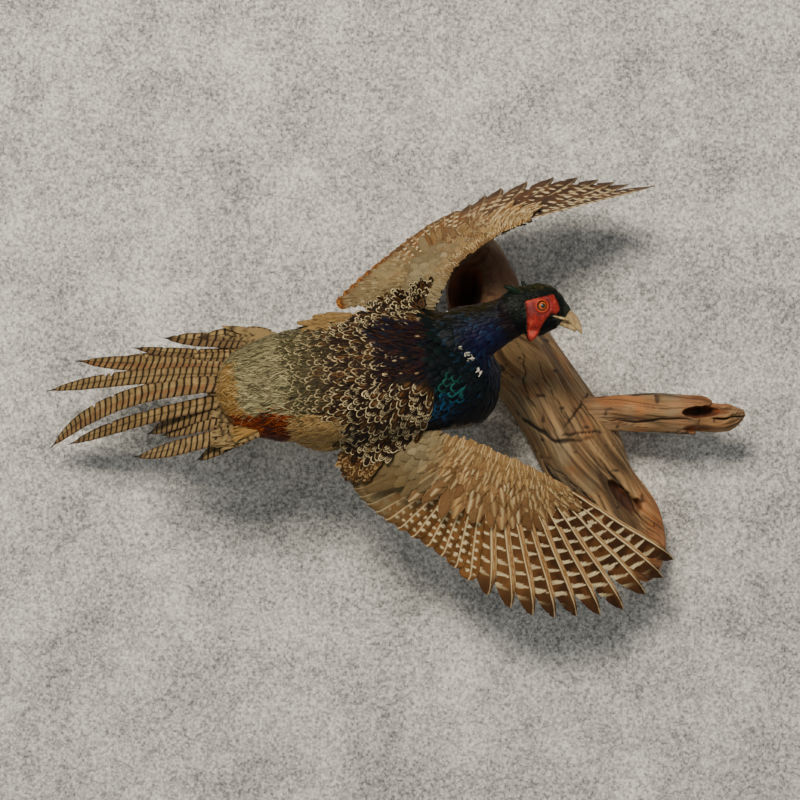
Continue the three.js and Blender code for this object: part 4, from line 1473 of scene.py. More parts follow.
        return layers(body, (silver, inward * step(ragged, 7, 11)),
                      (rusty, (1 - step(k, 5.0, 8.0)) * (1 - step(ragged, 5, 7))),
                      (cream, shaft * 0.3 * (1 - inward)))


# outlines of the long feathers: shares of the length and of the half width
PRIMARY = ((0, 0.3), (0.08, 0.62), (0.3, 0.95), (0.66, 1.0), (0.8, 0.86), (0.9, 0.62),
           (0.965, 0.36), (1, 0.04))
SECONDARY = ((0, 0.5), (0.15, 0.85), (0.5, 1.0), (0.86, 1.0), (0.95, 0.82), (0.985, 0.5), (1, 0.12))
TAIL_BLADE = ((0, 0.7), (0.25, 1.0), (0.66, 1.0), (0.82, 0.78), (0.92, 0.42), (0.96, 0.14), (1, 0.05))


@dataclass
class Vane:
    """One long feather: a bowed shaft with a vane on each side of it."""

    root: Array
    bow: Array
    tip: Array
    half: float
    normal: Array
    rng: np.random.Generator
    shaft: float = 0.0  # how far the shaft lies towards the front edge, as a share of the half width
    tilt: float = 0.0
    outline: tuple = PRIMARY
    lift: float = 0.0
    pitch: float = 1.0  # mm from row to row
    frays: int = 3

    def add_to(self, made: Grids, paint: Callable, number: int, count: int) -> None:
        """Adds the feather.

        Args:
            made: The mesh it goes into.
            paint: Gives colours from distances to the tip, the shaft and the edge.
            number: Which strip of the baked map it has.
            count: How many strips there are.
        """
        rng = self.rng
        long = float(np.linalg.norm(self.bow - self.root) + np.linalg.norm(self.tip - self.bow))
        t = np.linspace(0, 1, max(int(long / self.pitch), 12))
        s = t[:, None]
        spine = (1 - s) ** 2 * self.root + 2 * s * (1 - s) * self.bow + s ** 2 * self.tip
        run = unit(np.gradient(spine, axis=0))
        side = unit(np.cross(run, self.normal))
        facing = np.cross(side, run)
        facing = facing * np.sign((facing @ DORSAL).sum() or 1.0)
        y = long * (1 - t)
        half = self.half * np.interp(t, *np.array(self.outline).T)
        behind = np.array([-1, -0.94, -0.84, -0.68, -0.5, -0.32, -0.16, -0.05])
        before = np.array([0.05, 0.2, 0.42, 0.66, 0.86, 1.0])
        u = np.concatenate([self.shaft + (1 + self.shaft) * behind, [self.shaft],
                            self.shaft + (1 - self.shaft) * before])
        wide = np.outer(half, u)
        frayed = np.zeros_like(wide)
        for _ in range(self.frays):
            middle, deep = rng.uniform(4, long * 0.6), rng.uniform(0.15, 0.45)
            frayed += (bell(y - middle, 1.8) * deep)[:, None] * (u < -0.6) * (-u)
        ragged = plane_noise(y / 3.0, 0.0, int(rng.integers(999))) * 0.02
        wide = wide * (1 - np.clip(frayed, 0, 0.5) + ragged[:, None] * (np.abs(u) > 0.8))
        x = wide - (self.shaft * half)[:, None]
        ridge = 0.55 * bell(x, 0.8) * (0.35 + 0.65 * (1 - s))
        high = self.tilt * u - 0.05 * self.half * u ** 2 + ridge + self.lift
        high = high + plane_noise(y[:, None] / 14, x / 9, int(rng.integers(999))) * 0.35
        points = spine[:, None] - side[:, None] * wide[..., None] + facing[:, None] * high[..., None]
        tall = np.broadcast_to(y[:, None], x.shape)
        tint = paint(tall, x, np.minimum(half[:, None] * (1 - np.abs(u)), tall))
        vane = np.stack([x, long - tall + 53 * rng.random()], axis=-1)
        strip = (number + 0.06 + 0.88 * (u + 1) / 2) / count
        made.add(points, tint, vane, np.stack(np.meshgrid(strip, 0.01 + 0.98 * t), axis=-1))


@dataclass
class Tail:
    """The spread tail, feather by feather from the top, and the coverts over its root."""

    rng: np.random.Generator
    feathers: tuple = (
        ((-350, -153, 94), (-376, -150, 98), (-432, -130, 92), 9),
        ((-366, -157, 86), (-402, -144, 88), (-472, -112, 92), 9),
        ((-366, -161, 76), (-434, -134, 69), (-509, -92, 82), 6.5),
        ((-366, -165, 70), (-440, -136, 66), (-528, -82, 71), 8.5),
        ((-366, -169, 62), (-458, -131, 61), (-576, -62, 67), 10.5),
        ((-366, -175, 50), (-490, -128, 56), (-612, -50, 33), 9.5),
        ((-366, -180, 40), (-528, -126, 46), (-608, -44, -32), 11.5),
        ((-366, -184, 28), (-496, -132, 8), (-586, -54, -28), 9),
        ((-366, -188, 20), (-436, -158, 14), (-490, -100, -15), 12),
        ((-364, -193, 8), (-424, -172, 4), (-472, -114, -16), 12),
        ((-362, -207, -2), (-434, -186, -27), (-506, -98, -40), 10),
        ((-358, -212, -10), (-392, -200, -20), (-430, -156, -42), 9),
    )
    # start, reach and side (1 above, -1 below) of each layer of coverts; the first three are wispy
    mats: tuple = ((-26, 26, 1), (-18, 26, 1), (-12, 28, 1), (-4, 40, 1), (-14, 46, -1), (4, 50, -1))

    def build(self, name: str) -> Grids:
        """The long feathers as one mesh."""
        made, count = Grids(name), len(self.feathers)
        for k, (root, bow, tip, half) in enumerate(self.feathers):
            places = (np.array(place, float) for place in (root, bow, tip))
            vane = Vane(*places, half, DORSAL, self.rng, 0.0, 0.25, TAIL_BLADE,
                        1.6 * (1 - abs(k - 5.5) / 6), frays=2)
            vane.add_to(made, lambda y, x, edge: self.tint(y, x, edge, k), k, count)
        return made

    def tint(self, y: Array, x: Array, edge: Array, k: int) -> Array:
        """Colours of one tail feather: dark bars on buff, with browner edges."""
        wander = plane_noise(y / 8, x / 5, k + 70)
        rust = bell(x - 3, 2.5) * 0.45 * (k in (4, 6))
        pitch = 8.2 if k < 6 else 9.4  # mm from bar to bar
        phase = ((y + 0.18 * np.abs(x) + wander * 0.7 + 2.7 * k) / pitch) % 1
        return layers(
            "#7A6541", ("#967F54", step(wander, -0.4, 0.5)), ("#5C4730", 1 - step(edge, 0.8, 2.4)),
            ("#5C4730", (x > 0) * (0.7 if k < 4 else 0.25)), ("#7A3E1E", rust),
            ("#0C0603", band(phase, 0.12, 0.44, 0.05) * 0.96), ("#2E2416", (1 - step(y, 7, 15)) * 0.9),
            ("#2E2416", (np.abs(x) < 0.5) * 0.6))

    def coverts(self, name: str) -> Grids:
        """Soft feathers that fan out over the tail's root, above and below."""
        made, rng = Grids(name), self.rng
        rows = np.array([f[0] + f[1] for f in self.feathers], dtype=float)
        t, u = np.linspace(0, 1, 10), np.sin(np.linspace(-1, 1, 7) * np.pi / 2)
        for layer, (start, reach, over) in enumerate(self.mats):
            wispy = layer < 3
            count = 90 if wispy else 46
            f = (np.arange(count) + rng.uniform(-0.3, 0.3, count)) / (count - 1)
            root, bow = np.split(along(rows, f), 2, axis=1)
            run = unit(bow - root)
            facing = unit(flatten(DORSAL, run)) * over
            base = root + run * start * (1 - step(f, 0.72, 0.92))[:, None] + facing * (4.5 - layer % 4 * 1.1)
            long = reach * rng.uniform(0.75, 1.15, count) * (0.3 + 0.7 * step(f, 0.2, 0.38) if wispy else 1)
            run = turned(run, facing, rng.normal(0, 0.16 if wispy else 0.07, count)[:, None])
            sink = facing[:, None] * (2.2 * t ** 2)[None, :, None]
            spine = base[:, None] + run[:, None] * (long[:, None] * t)[..., None] - sink
            half = (2.0 if wispy else 5.0) * np.interp(t, [0, 0.3, 0.7, 1], [0.5, 1, 0.85, 0.2])
            leaves = Leaves(long, np.tile(half, (count, 1)), t, u, 1.5)
            pick, place = per(rng.random(count)), per(f)
            tint = layers("#6E5426", ("#947440", pick), ("#7E7650", (1 - step(place, 0.05, 0.3)) * 0.7),
                          ("#6A2408", band(place, 0.62, 0.8, 0.05) * (pick > 0.4) * 0.8))
            if not wispy:
                phase = ((per(long) - leaves.up + start) / 8.5 + pick * 0.12) % 1
                tint = blend("#84704A", "#120A05", band(phase, 0.1, 0.42, 0.06) * 0.9)
            home = np.stack([0.04 + 0.92 * f, np.full(count, 0.08 + 0.18 * layer)], axis=-1)
            leaves.add_to(made, spine, np.broadcast_to(facing[:, None], spine.shape),
                          -0.15 * leaves.wide * u ** 2, tint, home, run=leaves.up + leaves.apart)
        return made


# ---------------------------------------------------------------- head and legs


@dataclass
class Head:
    """Eyes with their lids, wattles, bill and ear tufts."""

    rng: np.random.Generator
    body: Body
    eye_radius: float = 6.4
    eye_out: float = 12.8
    eye_at: tuple = (-62.0, 121.0)
    lid: float = 5.5
    pupil: float = 22.0  # degrees from the eye's axis
    iris: float = 46.0
    wattle: tuple = (
        (-80.3, 126.3), (-64, 130.6), (-48.1, 134.4), (-43, 126), (-40.8, 117.2), (-45.9, 111.4),
        (-51.0, 113.6), (-53.9, 111.0), (-59.1, 103.8), (-65.0, 92.8), (-68.5, 86.4), (-72.3, 84.0),
        (-76.2, 86.4), (-77.2, 96.5), (-78.1, 111.1),
    )
    bill_upper: tuple = (
        (-49, -220, 118, 5.8, 6.4), (-38.5, -220, 113.6, 5.4, 7.2), (-29.5, -220, 108.2, 4.3, 6.2),
        (-24.0, -220, 102, 3.0, 4.2), (-20.8, -220, 96.6, 1.7, 2.3), (-19.2, -220, 92.2, 0.5, 0.6),
    )
    bill_lower: tuple = (
        (-49, -220, 108.5, 4.6, 4.2), (-41, -220, 105.2, 4.6, 3.8), (-34, -220, 101.4, 3.6, 3.2),
        (-28, -220, 98.0, 2.4, 2.3), (-25, -220, 95.8, 1.0, 1.1),
    )
    tufts: tuple = (
        ((-84, -229, 133, 6), (-93, -231, 139, 5.2), (-101.5, -231, 142.5, 2.2)),
        ((-74, -211, 137, 6), (-78, -211, 143, 4.6), (-82, -211, 148.5, 1.8)),
    )
    barbs: int = 110  # feathers in a tuft

    @classmethod
    def feathered(cls, root: Array) -> Array:
        """Whether feathers grow at each root on the head."""
        x, y, z = root.T
        middle = np.array([-62.0, 115.0])
        off = np.array(cls.wattle) - middle
        outline = middle + off * (1 - 0.6 / np.linalg.norm(off, axis=1))[:, None]
        within = np.zeros(len(root), dtype=bool)
        for (x0, z0), (x1, z1) in zip(outline, np.roll(outline, -1, axis=0)):
            within ^= ((z0 > z) != (z1 > z)) & (x < x0 + (z - z0) / (z1 - z0 + 1e-9) * (x1 - x0))
        bill = (x > -37) | ((x > -44) & (z < 112) & (z > 101))
        gape = (x > -51) & (np.abs(z - np.interp(x, [-51, -36], [111, 107.5])) < 1.7)
        return ~((within & (np.abs(y - HEAD_Y) > 6)) | bill | gape)

    def eye(self, side: int, name: str) -> Grids:
        """One glass eye; side is 1 for the right and -1 for the left."""
        made = Grids(name)
        polar, turn = np.meshgrid(np.linspace(0, np.pi, 44), np.linspace(0, 2 * np.pi, 57), indexing="ij")
        axis = unit(np.array([0.16, -side, 0.05]))
        across = unit(np.cross(axis, UP))
        bulge = self.eye_radius + 0.45 * np.exp(-(polar / 0.55) ** 4) - 0.45
        centre = np.array([self.eye_at[0], HEAD_Y - side * self.eye_out, self.eye_at[1]])
        c, s = np.cos(turn)[..., None], np.sin(turn)[..., None]
        ring = c * across + s * np.cross(across, axis)
        way = np.cos(polar)[..., None] * axis + np.sin(polar)[..., None] * ring
        points = centre + bulge[..., None] * way
        angle = np.degrees(polar)
        colour = layers(
            "#A65620", ("#C8803C", step(plane_noise(turn * 9, polar * 4, 3), 0.0, 0.6) * 0.5),
            ("#7A3410", step(angle, self.iris - 10, self.iris)),
            ("#020202", 1 - step(angle, self.pupil - 1, self.pupil + 1.5)),
            ("#140A06", step(angle, self.iris, self.iris + 5)))
        made.add(points, colour, np.stack([turn * 3, polar * 6], -1), sheet_map(44, 57, WHOLE))
        return made

    def surface(self, x: Array, z: Array, side: int) -> Array:
        """The head's own surface in Y over places in X and Z."""
        found = np.full(x.shape, HEAD_Y - side * 11.0)
        for index in np.ndindex(x.shape):
            start = Vector((x[index], HEAD_Y - side * 60, z[index]))
            spot = self.body.tree.ray_cast(start, Vector((0, side, 0)))[0]
            if spot is not None and abs(spot.y - HEAD_Y) >= 8:
                found[index] = spot.y
        return found

    def bare_skin(self, side: int, name: str) -> Grids:
        """One wattle: raised bare skin with small bumps, and the swollen lid round the eye."""
        made = Grids(name)
        outline, eye = np.array(self.wattle + self.wattle[:1]), np.array(self.eye_at)
        ends = np.unwrap(np.arctan2(*(outline - eye).T[::-1]))[[0, -1]]
        turn = np.linspace(ends.min(), ends.max(), 181)[None]
        inner = self.lid * 0.92
        share = np.linspace(0, 1, 46)[:, None]
        radius = inner + (self.radial(outline - eye, turn[0])[None] - inner) * share
        x, z = eye[0] + radius * np.cos(turn), eye[1] + radius * np.sin(turn)
        base = self.surface(x, z, side)
        for _ in range(3):
            base[1:-1] = (base[:-2] + base[1:-1] * 2 + base[2:]) / 4
        out = radius - self.lid  # distance from the lid
        bead = np.abs(plane_noise(x / 0.85, z / 0.85, 5) + 0.6 * plane_noise(x / 0.5, z / 0.5, 9))
        lift = (np.clip(1 - share ** 7, 0, 1) * 2.9 - 0.6 + bell(out - 0.7, 0.8) * 0.8
                - bell(out - 3.2, 0.9) * 0.5 + plane_noise(x / 6, z / 9, 12) * 0.5
                + bead * 0.55 * step(out, 1.2, 3) - np.maximum(0.4 - out, 0) * 1.6)
        lobe = step(-z, -100, -90)
        broad = plane_noise(x / 5, z / 7, 44) + 0.6 * plane_noise(x / 1.6, z / 2.2, 45)
        shadow = bell(out - 3.4, 1.3) * step(np.cos(turn - math.radians(235)), -0.2, 0.8)
        # painted light and shade: darker in the pits between the bumps, lighter on their tops as painted
        # highlights, painted shade in the crease round the outer rim, and the shadow term, a painted shadow
        # crescent below and behind the eye
        colour = layers(
            "#8E180E", ("#AA2E1C", lobe), ("#CE5A40", step(bead, 0.5, 1.1) * 0.5),
            ("#4A0806", (1 - step(bead, 0.0, 0.3)) * 0.7),
            ("#5A100C", step(plane_noise(x / 3, z / 4, 21), 0.1, 0.6) * 0.55 * (1 - lobe)),
            ("#C8523A", step(broad, 0.1, 0.9) * 0.5), ("#4E0C08", step(-broad, 0.1, 0.9) * 0.7),
            ("#3A0806", step(share, 0.82, 1.0) * 0.7), ("#4A0A08", shadow * 0.75),
            ("#C24A20", np.clip(bell(out - 0.5, 0.7) * (0.7 + 0.5 * bead), 0, 1) * 0.85))
        made.add(np.stack([x, base - side * lift, z], axis=-1), colour, np.stack([x, z], -1),
                 sheet_map(46, 181, WHOLE))
        return made

    @staticmethod
    def radial(outline: Array, angles: Array) -> Array:
        """How far an outline lies from the origin in each direction, rounded at its corners."""
        p, run = outline[:-1], np.diff(outline, axis=0)
        way = np.stack([np.cos(angles), np.sin(angles)], axis=-1)[:, None]
        under = way[..., 0] * run[:, 1] - way[..., 1] * run[:, 0]
        far = (p[:, 0] * run[:, 1] - p[:, 1] * run[:, 0]) / under
        on = (p[:, 0] * way[..., 1] - p[:, 1] * way[..., 0]) / under
        hit = (far > 0) & (on >= -1e-6) & (on <= 1 + 1e-6)
        found = np.where(hit, far, 0).max(axis=1)
        padded = np.concatenate([found[-4:-1], found, found[1:4]])
        return np.convolve(padded, np.array([1, 2, 3, 4, 3, 2, 1]) / 16, mode="valid")

    def bill(self, name: str, upper: bool) -> Grids:
        """One half of the bill, the upper with the strips of the gape, darkened on their undersides by
        painted shade.
        """
        made = Grids(name)

        def ridge(angle: Array, t: Array) -> Array:
            """A keel along the top of the upper half, and a flat cutting edge."""
            keel = bell(angle - 1.5 * np.pi, 0.5) + bell(angle - np.pi / 2, 0.5)
            return 1 + 0.06 * keel - 0.04 * np.cos(4 * angle) + 0 * t

        def paint(points: Array, t: Array) -> Array:
            """Tan horn, greyer at the base and darker at the tip, with painted shade along the line where the
            two halves meet and a painted dark slot standing in for the nostril's opening.
            """
            cloud = noise(points / np.array([1.2, 3.0, 3.0]), 31)
            around = np.linspace(0, 2 * np.pi, points.shape[1])
            # painted shade where the two halves meet, and below it a painted dark slot for the nostril's
            # opening
            low = bell(around - (1.5 if upper else 0.5) * np.pi, 0.55) * (0.85 if upper else 0.95)
            slot = np.hypot((points[..., 0] + 40.5) / 3.0, (points[..., 2] - 116.0) / 1.2)
            flank = upper & (np.abs(points[..., 1] - HEAD_Y) > 3.0)
            return layers(
                "#8E7650", ("#B09A6E", step(cloud, -0.4, 0.6)), ("#5E4E34", (1 - step(t, 0.1, 0.45)) * 0.75),
                ("#4E3C22", step(t, 0.86, 1.0) * 0.5), ("#241A10", low),
                ("#0E0906", (1 - step(slot, 0.6, 1.1)) * flank * 0.9))

        tube(made, self.bill_upper if upper else self.bill_lower, UP, 40, 48, paint,
             (0.02, 0.02, 0.98, 0.8), ridge)
        for side in (1, -1) if upper else ():
            x, z = np.linspace(-33, -51, 6), np.linspace(106.8, 111, 6)
            y = self.surface(x, z, side) + side * np.array([2.6, 1.2, 0.4, 0.2, 0.2, 0.6])
            size = np.array([1.0, 1.5, 1.6, 1.5, 1.2, 0.4])
            tube(made, np.stack([x, y, z, size, size * 0.9], axis=-1), UP, 16, 30,
                 lambda points, t: paint(points, t * 0 + 0.6),
                 (0.02, 0.9 + side * 0.04, 0.98, 0.93 + side * 0.04))
        return made

    def ear_tufts(self, name: str) -> Grids:
        """The two small horns of feathers behind the crown."""
        made, count, rng = Grids(name), self.barbs, self.rng
        t, u = np.linspace(0, 1, 8), np.array([-1, -0.5, 0, 0.5, 1.0])
        for number, rows in enumerate(self.tufts):
            turn, reach = rng.uniform(0, 2 * np.pi, count), rng.uniform(0.55, 1.0, count)
            run = unit(np.gradient(along(rows, t)[:, :3], axis=0))
            a = unit(np.cross(run, OUT))
            swirl = np.cos(per(turn)) * a + np.sin(per(turn)) * np.cross(a, run)
            taper = along(rows, t * reach[:, None])
            far = taper[..., 3] * 0.62 * np.sqrt(rng.random(count))[:, None]
            half = np.tile(1.5 * np.interp(t, [0, 0.4, 0.8, 1], [0.8, 1, 0.7, 0.2]), (count, 1))
            leaves = Leaves(np.full(count, 12.0), half, t, u, 0.0)
            pick = per(rng.random(count))
            tint = layers("#081610", ("#12301C", step(pick, 0.5, 1.0)),
                          ("#050708", (1 - step(pick, 0.0, 0.4)) * 0.8))
            home = np.stack([0.1 + 0.8 * rng.random(count), np.full(count, 0.25 + 0.5 * number)], -1)
            leaves.add_to(made, taper[..., :3] + swirl * far[..., None], unit(swirl),
                          -0.3 * leaves.wide * u ** 2, tint, home, 4.0, per(leaves.length) - leaves.up)
        return made


@dataclass
class Leg:
    """The scaled shank, its spur and four toes with claws, below one feathered thigh."""

    heel: tuple
    foot: tuple
    toes: tuple = ((-30, 2, 15), (-44, 5, 3), (-30, 9, -9), (9, 8, -6))
    spur: tuple = (-6, 14, -2)

    def build(self, name: str) -> Grids:
        """The leg as one mesh."""
        made = Grids(name)
        heel, foot = np.array(self.heel, float), np.array(self.foot, float)
        shank = [[*heel, 5.0, 5.0], [*(heel + foot) / 2, 3.7, 3.7], [*foot, 5.0, 4.6]]
        tube(made, shank, UP, 26, 110, self.skin, (0.02, 0.02, 0.45, 0.98), self.scales)
        for i, offset in enumerate(self.toes):
            tip = foot + offset
            rows = [[*foot, 3.8, 3.6], [*foot * 0.45 + tip * 0.55 - (0, 2, 0), 2.9, 2.8],
                    [*foot * 0.12 + tip * 0.88, 2.1, 2.0], [*tip, 0.5, 0.5]]
            box = (0.5 + 0.1 * i, 0.02, 0.58 + 0.1 * i, 0.98)
            tube(made, rows, UP, 16, 60, self.toe, box, self.knuckles)
        base = heel * 0.34 + foot * 0.66
        tip = base + self.spur
        rows = [[*base, 3.2, 3.2], [*base * 0.45 + tip * 0.55, 2.0, 2.0], [*tip, 0.5, 0.5]]
        tube(made, rows, UP, 14, 24, lambda points, t: blend("#4A4238", "#2A221C", t),
             (0.9, 0.02, 0.98, 0.98))
        return made

    @staticmethod
    def scales(angle: Array, t: Array) -> Array:
        """Two rows of plates down the front and small scales behind."""
        plate = np.abs(np.sin(t * 60 + np.where(np.cos(angle) > 0, 0, 1.2)))
        return 0.96 + 0.07 * plate ** 0.5

    @staticmethod
    def knuckles(angle: Array, t: Array) -> Array:
        """Plates over each joint of a toe."""
        return 0.96 + 0.09 * np.abs(np.sin(t * 26)) ** 0.6 + 0.05 * np.cos(2 * angle)

    @staticmethod
    def skin(points: Array, t: Array) -> Array:
        """Grey-brown dry skin, dark between the plates."""
        lines = noise(points / 1.4, 17)
        return layers("#6E665A", ("#8C8474", step(lines, -0.2, 0.6)),
                      ("#38322A", step(-lines, 0.25, 0.6) * 0.7))

    @classmethod
    def toe(cls, points: Array, t: Array) -> Array:
        """The same skin, with a dark horn claw at the end."""
        return blend(cls.skin(points, t), "#241C16", step(t, 0.84, 0.9))


# ---------------------------------------------------------------- the stand


def ring_noise(angle: Array, t: Array, size: tuple[float, float, float], seed: int) -> Array:
    """noise() round a tube, with this many bumps to a radian and to its length."""
    ring = np.stack(np.broadcast_arrays(np.cos(angle), np.sin(angle), t), axis=-1)
    return noise(ring * size, seed)


@dataclass(frozen=True)
class Timber:
    """One piece of weathered wood, its hollows and its cracks."""

    name: str
    rows: tuple
    sides: int
    stations: int
    cuts: tuple  # centre, radii and lean of each hollow
    cracks: tuple  # corners in X and Z, width and depth of each
    seed: int
    orange: float  # how rusty the wood is

    def ridges(self, angle: Array, t: Array) -> Array:
        """Long ridges that wind a little along the grain, as a share of the radius."""
        wave = (1 + 0.05 * np.sin(2 * angle + 3 * t) + 0.06 * np.sin(3 * angle + 8 * t)
                + 0.045 * np.sin(5 * angle - 6 * t) + 0.03 * np.sin(21 * t + angle))
        return wave + self.fibres(angle, t, 3)

    @staticmethod
    def fibres(angle: Array, t: Array, seed: int) -> Array:
        """Fine ridges and cracks along the grain, as a share of the radius."""
        bend, t = angle + 0.35 * np.sin(5 * t + seed) + 0.12 * np.sin(13 * t), t * 2.2
        ridge = sum(ring_noise(bend, t, size, seed + k) * high for k, (size, high) in enumerate((
            ((5, 5, 1.2), 0.022), ((12, 12, 2.5), 0.014), ((30, 30, 5), 0.008))))
        crack = bell(ring_noise(bend, t, (7, 7, 1.6), seed + 3), 0.07) * 0.028
        return ridge - crack * step(ring_noise(bend, t, (2, 2, 2.5), seed + 4), -0.1, 0.3)

    @staticmethod
    def carve(points: Array, cut: tuple) -> Array:
        """How deep a hollow is pressed into the front of the wood, at each of its points."""
        (cx, cy, cz), (rx, ry, rz), lean = cut
        dx, y, dz = points[..., 0] - cx, points[..., 1], points[..., 2] - cz
        x = dx * math.cos(lean) - dz * math.sin(lean)
        z = dx * math.sin(lean) + dz * math.cos(lean)
        wobble = 1 + 0.16 * plane_noise(np.arctan2(z, x) * 2.2, y / 90, 5)
        reach = ((x / rx) ** 2 + (z / rz) ** 2) * wobble
        room = np.clip(1 - reach, 0, 1)
        rough = plane_noise(points[..., 0] / 5, points[..., 2] / 16, 6) * 2.2
        floor = cy + ry * np.sqrt(room) + rough * room
        return np.where((reach < 1) & (y < floor) & (y > cy - ry), np.minimum(floor, -6) - y, 0)

    @staticmethod
    def split(points: Array, crack: tuple, seed: int) -> Array:
        """How far open a crack is at each point, from 0 to 1."""
        corners, wide, _ = crack
        line = along(corners, np.linspace(0, 1, 60))
        x, z = (points[..., a] + plane_noise(points[..., 0] / 9, points[..., 2] / 9, seed + k) * 2.5
                for k, a in enumerate((0, 2)))
        gap, where = np.full(x.shape, 1e9), np.zeros(x.shape)
        for k, (a, b) in enumerate(zip(line[:-1], line[1:])):
            run = b - a
            t = np.clip(((x - a[0]) * run[0] + (z - a[1]) * run[1]) / (run @ run), 0, 1)
            far = np.hypot(x - a[0] - t * run[0], z - a[1] - t * run[1])
            where = np.where(far < gap, k / 59, where)
            gap = np.minimum(gap, far)
        taper = np.sqrt(np.clip(np.sin(np.pi * (0.04 + 0.92 * where)), 0, 1))
        return bell(gap, wide * 0.62 * (0.4 + 0.6 * taper)) * taper * (points[..., 1] < -45)

    def dress(self, points: Array, depth: Array, lengths: Array) -> Array:
        """The wood's colours: grey and brown weathering, rusty patches and dark knots, reddish brown hollows
        darkened deeper in by painted shade, and a painted shadow of the wing over the log's upper end.
        """
        x, z, seed, orange = points[..., 0], points[..., 2], self.seed, self.orange
        across, run = lengths[..., 0], lengths[..., 1]
        bent = across + 7 * plane_noise(across / 40, run / 50, seed + 9)
        broad, patch = noise(points / 40.0, seed), noise(points / 16.0, seed + 5)
        grain = plane_noise(bent / 3.4, run / 60.0, seed + 1)
        line = plane_noise(bent / 1.25, run / 48.0, seed + 2)
        low_end = step(x + 18 * patch, 44, 74) * step(-z, 60, 100) * (1 - orange)
        top = step(z - x * 0.02 + 9 * noise(points / 12.0, seed + 5), 8, 18)
        warm = np.maximum(low_end, orange * (0.35 + 0.65 * top) * step(broad, -0.6, 0.1))
        knots = noise(points / np.array([7.0, 40.0, 7.0]), seed + 13)
        high = np.abs(z - 150) + np.abs(x + 130) * 0.4 + broad * 20
        base = layers("#6C5334", ("#9A7E56", step(grain, -0.4, 0.5)),
                      ("#8A8064", step(noise(points / 34.0, seed + 7), -0.1, 0.5) * 0.6))
        # reddish brown inside the hollows, darkened with depth as painted shade
        rusty = blend("#6A3412", "#241006", step(depth, 6, 26))
        rusty = rusty * (1 + 0.6 * noise(points / np.array([7.0, 9.0, 16.0]), seed + 17))[..., None]
        return layers(
            base * (1 + 0.35 * step(-z, 50, 110))[..., None], ("#A8602A", np.clip(warm, 0, 1) * 0.75),
            ("#8A5A32", step(noise(points / 18.0, seed + 11), 0.25, 0.6) * 0.5),
            ("#2E2014", step(np.abs(line), 0.36, 0.7) * 0.7), ("#33210F", step(-grain, 0.4, 0.75) * 0.55),
            ("#24160C", step(knots, 0.62, 0.8) * 0.8),
            # painted shadow of the raised wing over the log's upper end
            ("#4A2410", (1 - step(high, 40, 80)) * 0.75 * (orange < 0.5)),
            (rusty, step(depth, 1.5, 11.0) * 0.92))

    def build(self) -> Grids:
        """The wood as one closed mesh."""
        made = Grids(self.name)
        rings = sweep(self.rows, OUT, self.sides, self.stations, 0.0, self.ridges)
        lengths = lengths_map(sweep(self.rows, OUT, self.sides, self.stations))
        angle, t = np.linspace(0, 2 * np.pi, self.sides + 1)[None], np.linspace(0, 1, self.stations)[:, None]
        sunk = (1 - self.ridges(angle, t)) * 60
        depth, opened = np.zeros(rings.shape[:2]), np.zeros(rings.shape[:2])
        for cut in self.cuts:
            pressed = self.carve(rings, cut)
            rings[..., 1] += pressed
            depth = np.maximum(depth, pressed)
        for number, crack in enumerate(self.cracks):
            share = self.split(rings, crack, self.seed + 3 * number)
            rings[..., 1] += share * crack[2]
            opened = np.maximum(opened, share)
        rings[..., 1] = np.minimum(rings[..., 1], 0)
        # painted shade in the grooves between the ridges, and painted shade inside the open cracks
        tint = layers(self.dress(rings, depth, lengths), ("#1C1009", step(sunk, 4.5, 8.0) * 0.6),
                      ("#140A05", step(opened, 0.2, 0.7) * 0.92))
        tint, lengths = (np.concatenate([a[:1], a, a[-1:]]) for a in (tint, lengths))
        closed = capped(rings)
        made.add(closed, tint, lengths, sheet_map(*closed.shape[:2], (0.01, 0.01, 0.99, 0.99)))
        return made


class Branch(Timber):
    """The side branch, whose end is torn."""

    def ridges(self, angle: Array, t: Array) -> Array:
        """Ridges along the grain and splinters at the torn end."""
        wave = (1 + 0.07 * np.sin(3 * angle + 4 * t) + 0.05 * np.sin(5 * angle - 3 * t)
                + 0.03 * np.sin(17 * t + angle))
        torn = (ring_noise(angle, t * 0.4, (4.5, 4.5, 3), 15) * 0.22
                + ring_noise(angle, t * 0.4, (11, 11, 6), 16) * 0.14)
        return wave + self.fibres(angle, t * 0.6, 11) * 1.2 + torn * step(t, 0.76, 0.86)


